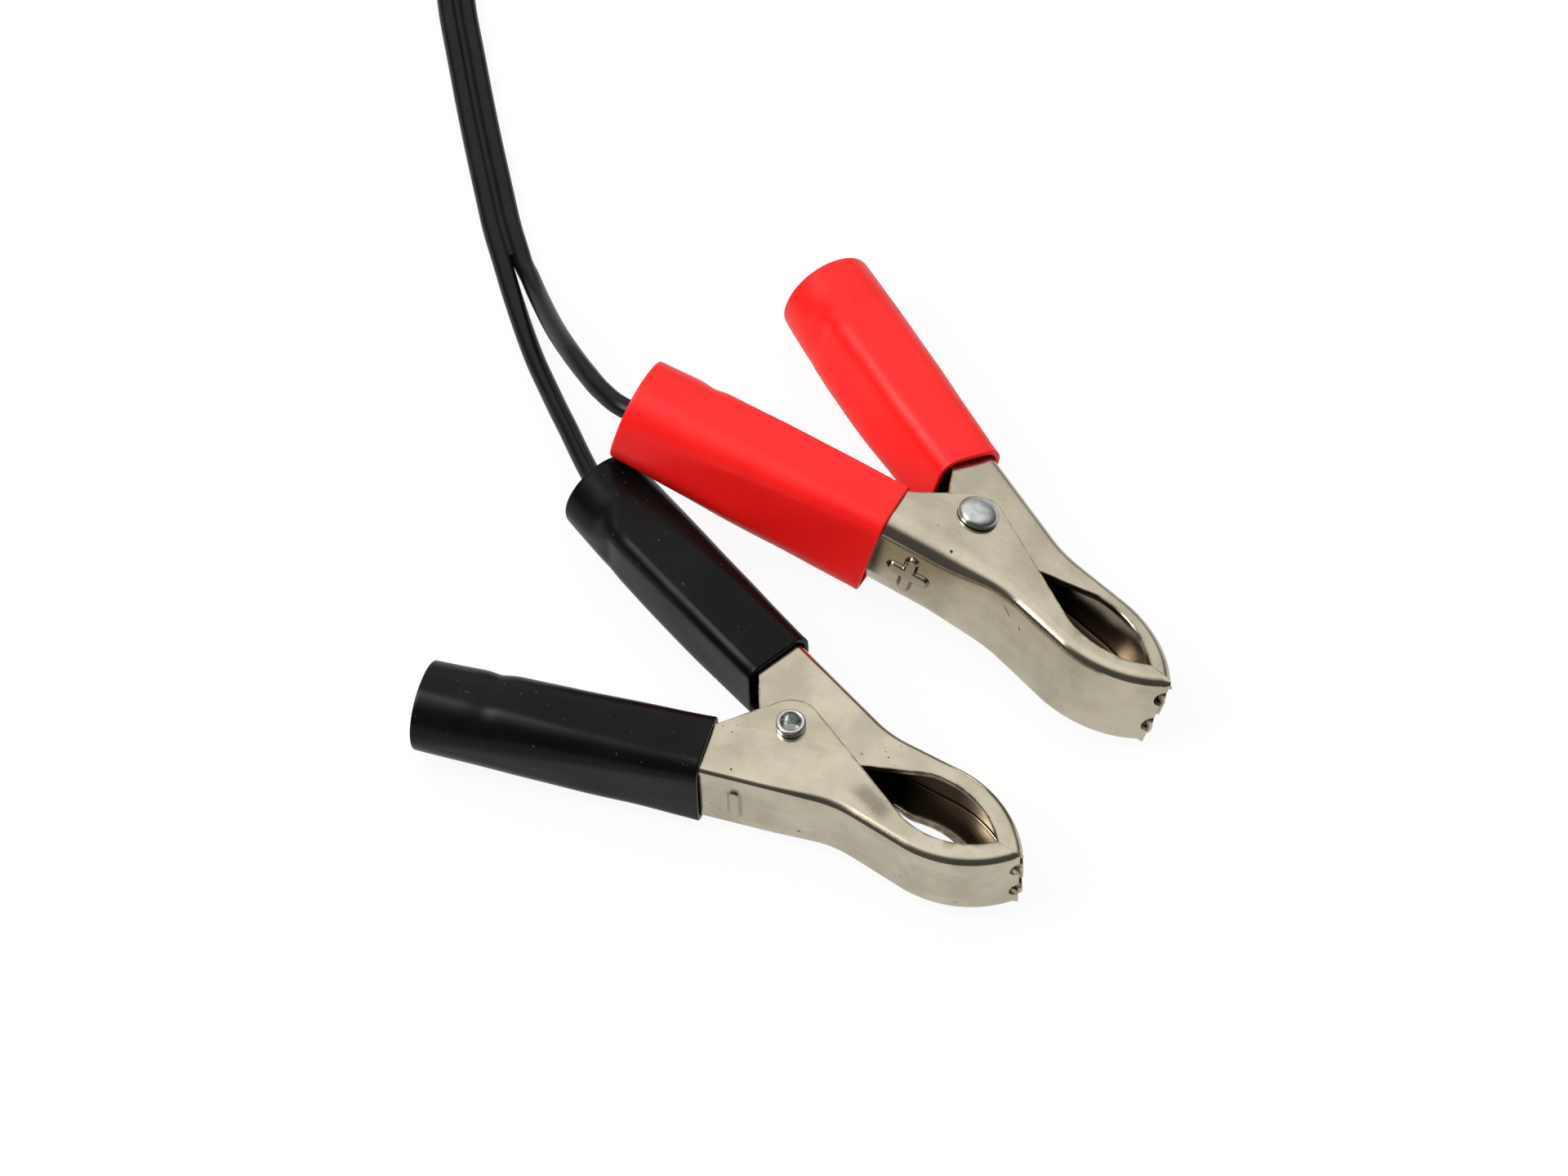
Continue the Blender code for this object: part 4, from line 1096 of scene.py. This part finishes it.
# %% Wind the springs
SPRING_WIRE = 1.1 * MM
SPRING_TURNS = 2
SPRING_GAP = 0.5 * MM
SPRING_RADIUS = SHANK_RADIUS + 0.35 * MM + SPRING_WIRE / 2
SPRING_LEG_RUN = 29.0 * MM


def spring_points(clip):
    foot = handle_point(SPRING_LEG_RUN, SHEET + GAP + SPRING_WIRE / 2)
    last = tangent_angle(foot, SPRING_RADIUS, -1)
    sweep = 2 * last + 2 * math.pi * SPRING_TURNS
    rise = (SPRING_WIRE + SPRING_GAP) * sweep / (2 * math.pi)
    steps = 30 * (SPRING_TURNS + 1)
    start = Vector((SPRING_RADIUS * math.cos(last), -SPRING_RADIUS * math.sin(last), -rise / 2))
    tip = Vector((foot.x, -foot.y, -rise / 2))
    points = [tip.lerp(start, i / 12) for i in range(12)]
    for i in range(steps + 1):
        angle = -last + sweep * i / steps
        height = rise * (i / steps - 0.5)
        points.append(Vector((SPRING_RADIUS * math.cos(angle), SPRING_RADIUS * math.sin(angle), height)))
    end = Vector((start.x, -start.y, rise / 2))
    tip = Vector((foot.x, foot.y, rise / 2))
    points += [end.lerp(tip, (i + 1) / 12) for i in range(12)]
    return [clip @ place for place in points]


def wire(name, points, diameter):
    """A round wire drawn as a curve and made a mesh."""
    drawn = add(bpy.ops.curve.primitive_nurbs_path_add)
    drawn.name = name
    drawn.data.splines.clear()
    spline = drawn.data.splines.new("POLY")
    spline.points.add(len(points) - 1)
    for point, place in zip(spline.points, points):
        point.co = (*place, 1)
    drawn.data.bevel_depth = diameter / 2
    drawn.data.bevel_resolution = 4
    drawn.data.use_fill_caps = True
    only(drawn)
    bpy.ops.object.convert(target="MESH")
    piece = bpy.context.object
    soften(piece, 50)
    return piece


def make_spring(colour, clip, outer_body, inner_body):
    coil = wire(colour + "_torsion_spring", spring_points(clip), SPRING_WIRE)
    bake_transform(coil, outer_body, inner_body, start=clip @ Vector((0, -SPRING_RADIUS, 0)),
             end=clip @ Vector((0, SPRING_RADIUS, 0)))
    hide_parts(colour + "_spring")
    spring_finish.wear(coil, "spring_steel")
    print(coil.name, len(coil.data.polygons), "faces")


make_spring("black", black_frame, "black_outer_half", "lead")
make_spring("red", red_frame, "lead", "red_inner_half")

# %% [markdown]
# ## Inside the handles
# The bare strands and the ferrules are plain turned shapes under the sleeves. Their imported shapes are
# right, so they only get their metals.

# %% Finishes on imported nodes
for colour in ("black", "red"):
    tin_finish.wear(frame["nodes"][colour + "_ferrule"], "tinned_metal")
    copper_finish.wear(frame["nodes"][colour + "_conductor"], "copper")
    print(colour, "ferrule and conductor keep their packed shapes")

# %% [markdown]
# ## The far end
# The picture doesn't show it. Such leads end in a flat two-pole connector: a bare pin and a shrouded
# socket side by side in a moulded body, with a slotted boot that saves the cord from kinking.

# %% Connector
BOOT_LENGTH = 14.0 * MM
BOOT_ROOM = 2.2 * MM
BODY_LENGTH = 20.0 * MM
BODY_WIDTH = 16.0 * MM
BODY_ROUND = 1.2 * MM
POLE = 4.0 * MM
PIN_RADIUS = 2.0 * MM
PIN_REACH = 11.0 * MM
PIN_ROOT = 5.0 * MM
SHROUD_RADIUS = 3.8 * MM
SHROUD_REACH = 11.0 * MM
SOCKET_WALL = 0.5 * MM
SOCKET_LENGTH = 10.0 * MM
POLE_PLAY = 0.2 * MM
GROOVES, GROOVE_START, GROOVE_STEP = 4, 4.0 * MM, 3.0 * MM
GROOVE_WIDTH, GROOVE_HALF, GROOVE_DEPTH = 1.4 * MM, 5.5 * MM, 0.4 * MM
SLOTS, SLOT_START, SLOT_STEP = 4, 1.8 * MM, 2.8 * MM
SLOT_WIDTH, SLOT_ROOM = 1.2 * MM, 0.5 * MM
TIP_ROUND = 0.65 * MM
MOUTH_CHAMFER = 0.2 * MM

plug_frame = Matrix.Translation(loops[-1]) @ Matrix.Rotation(END_HEADING, 4, "Z")
body_back = 2 * GAP + BOOT_LENGTH
body_front = body_back + BODY_LENGTH
socket_outside = PIN_RADIUS + POLE_PLAY + SOCKET_WALL
socket_front = body_front + SHROUD_REACH - POLE_PLAY


def slab(a, b):
    """A block between two opposite corners, in the connector's frame."""
    low = Vector([min(pair) for pair in zip(a, b)])
    high = Vector([max(pair) for pair in zip(a, b)])
    piece = add(bpy.ops.mesh.primitive_cube_add, size=1)
    piece.matrix_world = Matrix.LocRotScale((low + high) / 2, None, high - low)
    return settle(piece)


def soft_block(name, start, end, half):
    """A block with rounded edges, from start to end along the connector."""
    piece = slab(Vector((start, 0, 0)) - half, Vector((end, 0, 0)) + half)
    piece.name = name
    piece.data.name = name
    edit_all(piece, lambda: bpy.ops.mesh.bevel(offset=BODY_ROUND, segments=4, affect="EDGES"))
    return piece


def pole_drill(radius, start, end, pole):
    middle = Vector(((start + end) / 2, pole, 0))
    return drill(Matrix(), middle, Vector((1, 0, 0)), radius, end - start, 48)


def place_plug_piece(piece, node, finish, slot):
    piece.matrix_world = plug_frame
    settle(piece)
    soften(piece, 40)
    dress(piece, "lead", finish, slot, node)


half_body = Vector((0, BODY_WIDTH, BODY_THICKNESS)) / 2
body = soft_block("plug_body", body_back, body_front, half_body)
cut(body, pole_drill(SHROUD_RADIUS, body_front - 2 * BODY_ROUND, body_front + SHROUD_REACH, POLE), "UNION")
socket_back = socket_front - SOCKET_LENGTH - GAP
cut(body, pole_drill(socket_outside + POLE_PLAY, socket_back, body_front + 2 * SHROUD_REACH, POLE))
cut(body, pole_drill(PIN_RADIUS + POLE_PLAY, body_front - PIN_ROOT - GAP, body_front + PIN_ROOT, -POLE))
for i in range(GROOVES):
    start = body_back + GROOVE_START + i * GROOVE_STEP
    for level in (-1, 1):
        cut(body, slab((start, -GROOVE_HALF, level * (BODY_THICKNESS / 2 - GROOVE_DEPTH)),
                       (start + GROOVE_WIDTH, GROOVE_HALF, level * BODY_THICKNESS)))
place_plug_piece(body, "connector_body", black_finish, "black_vinyl")

boot_width, boot_thickness = BODY_WIDTH - BOOT_ROOM, BODY_THICKNESS - BOOT_ROOM
boot = soft_block("plug_boot", GAP, GAP + BOOT_LENGTH, Vector((0, boot_width, boot_thickness)) / 2)
for corner in boot.data.vertices:
    share = (corner.co.x - GAP) / BOOT_LENGTH
    corner.co.y *= share + (1 - share) * (2 * CORE + BOOT_ROOM) / boot_width
    corner.co.z *= share + (1 - share) * (CORE + BOOT_ROOM) / boot_thickness
for i in range(SLOTS):
    start = GAP + SLOT_START + i * SLOT_STEP
    for side in (-1, 1):
        cut(boot, slab((start, side * (CORE + SLOT_ROOM), -BODY_THICKNESS),
                       (start + SLOT_WIDTH, side * BODY_WIDTH, BODY_THICKNESS)))
place_plug_piece(boot, "connector_boot", black_finish, "black_vinyl")


# %% Its pin and socket
def pole_place(middle, pole):
    return Matrix.Translation((middle, pole, 0)) @ Matrix.Rotation(math.pi / 2, 4, "Y")


half_pin = (PIN_ROOT + PIN_REACH) / 2
pin_profile = [(0, half_pin), (PIN_RADIUS - TIP_ROUND, half_pin),
               (PIN_RADIUS - 0.2 * TIP_ROUND, half_pin - 0.3 * TIP_ROUND),
               (PIN_RADIUS, half_pin - TIP_ROUND), (PIN_RADIUS, TIP_ROUND - half_pin),
               (PIN_RADIUS - TIP_ROUND, -half_pin), (0, -half_pin)]
pin = spin("plug_pin", pin_profile, pole_place(body_front + (PIN_REACH - PIN_ROOT) / 2, -POLE))
place_plug_piece(pin, "connector_pin", brass_finish, "brass")

half_socket = SOCKET_LENGTH / 2
bore = PIN_RADIUS + POLE_PLAY
socket_mouth = (bore, half_socket - MOUTH_CHAMFER)
socket_profile = [socket_mouth, (bore + MOUTH_CHAMFER, half_socket), (socket_outside, half_socket),
                  (socket_outside, -half_socket), (bore, -half_socket), socket_mouth]
socket = spin("plug_socket", socket_profile, pole_place(socket_front - half_socket, POLE))
place_plug_piece(socket, "connector_socket", brass_finish, "brass")

# %% [markdown]
# ## The tie
# A soft strap holds the coil: a flat band round all the turns, with rounded corners.

# %% Tie
TIE_WALL = 0.6 * MM
TIE_WIDTH = 5.0 * MM
outermost = COIL_DIAMETER / 2 + COIL_LOOPS * COIL_STEP / 2
innermost = COIL_DIAMETER / 2 - COIL_LOOPS * COIL_STEP / 2
tie_near = innermost - COIL_STEP / 2 - CORE - GAP
tie_far = outermost + CORE + GAP
tie_top = COIL_LIFT + LAYER + CORE / 2 + GAP


def make_tie():
    half = Vector(((tie_far - tie_near) / 2, (tie_top - TIE_WALL) / 2))
    middle = Vector(((tie_far + tie_near) / 2, (tie_top + TIE_WALL) / 2))
    ring = boxed_ring(half.x, half.y, CORE / 2)
    ring.append(ring[0])
    upright = Euler((math.pi / 2, 0, COIL_HEADING + TIE_TURN)).to_matrix().to_4x4()
    place = Matrix.Translation(coil_centre) @ upright
    rows, flats = [], []
    for i in range(9):
        across = TIE_WIDTH * (i / 8 - 0.5)
        rows.append([place @ Vector((middle.x + p.x, middle.y + p.y, across)) for p in ring])
        flats.append([(0.5 * MM * step, across) for step in range(len(ring))])
    tie = bend_grid("coil_strap", rows, flats)
    edit_all(tie, face_out)
    apply(tie, "SOLIDIFY", thickness=TIE_WALL, offset=1, use_even_offset=True)
    apply(tie, "BEVEL", width=0.12 * MM, segments=2, limit_method="ANGLE", angle_limit=math.radians(60))
    soften(tie, 50)
    return dress(tie, "lead", black_finish, "black_vinyl", "lead_tie")


strap = make_tie()

# %% [markdown]
# ## Bench and light
# The photograph has a white ground and light from all round above, with a darker room near the
# horizon: that is what draws the dark lines along the folds of the jaws. The floor shows white to the
# camera and pale grey in reflections, but keeps a soft shadow. A broad lamp gives the shadow, and a
# long one draws the bright line along the red clip's fold.

# %% Floor and world
floor = add(bpy.ops.mesh.primitive_plane_add, "bench", size=6.0, location=(0, 0, -0.0002))
bench = Finish("bench_white", Base_Color=(0.92, 0.92, 0.92, 1), Roughness=0.9)
to_camera = bench.node("ShaderNodeLightPath", output="Is Camera Ray")
to_mirror = bench.node("ShaderNodeLightPath", output="Is Glossy Ray")
glow = bench.node("ShaderNodeEmission", None, {"Strength": 0.70 + to_camera * 0.30})
matt = Socket(bench, bench.shader.outputs[0])
surface = bench.node("ShaderNodeMixShader", None, {0: to_camera.at_least(to_mirror) * 0.92, 1: matt, 2: glow})
bench.fill(bench.tree.nodes["Material Output"].inputs["Surface"], surface)
floor.data.materials.append(bench.material)

world = bpy.data.worlds.new("studio")
bpy.context.scene.world = world
world.use_nodes = True
sky = Nodes(world.node_tree)
way = sky.node("ShaderNodeTexCoord", output="Generated")
overhead = {0: way, 1: (-0.375, 0.468, 1.0)}
high = sky.node("ShaderNodeVectorMath", {"operation": "DOT_PRODUCT"}, overhead, "Value")
backdrop = world.node_tree.nodes["Background"]
sky.fill(backdrop.inputs["Color"], (1, 1, 1, 1))
sky.fill(backdrop.inputs["Strength"], 0.08 + high.rise(0.50, 1.05) * 0.92)

# %% Lamps
KEY_PLACE = Vector((0.25, -0.25, 0.9))
KEY_TURN = (-KEY_PLACE).to_track_quat("-Z", "Y").to_euler()
key = add(bpy.ops.object.light_add, type="AREA", location=KEY_PLACE, rotation=KEY_TURN)
key.data.energy = 3.5
key.data.size = 0.8
key.visible_glossy = False

away = Vector((-0.43, -0.42, 0.80)).normalized()
along = away.cross(Vector((1, 0, 0))).normalized()
strip_turn = Matrix((along, away.cross(along), away)).transposed().to_euler()
strip = add(bpy.ops.object.light_add, type="AREA", location=away * 0.75, rotation=strip_turn)
strip.data.shape = "RECTANGLE"
strip.data.size = 0.50
strip.data.size_y = 0.16
strip.data.energy = 3.0
print("lamps of", key.data.energy, "and", strip.data.energy, "W")

bpy.context.scene.view_settings.view_transform = "Standard"
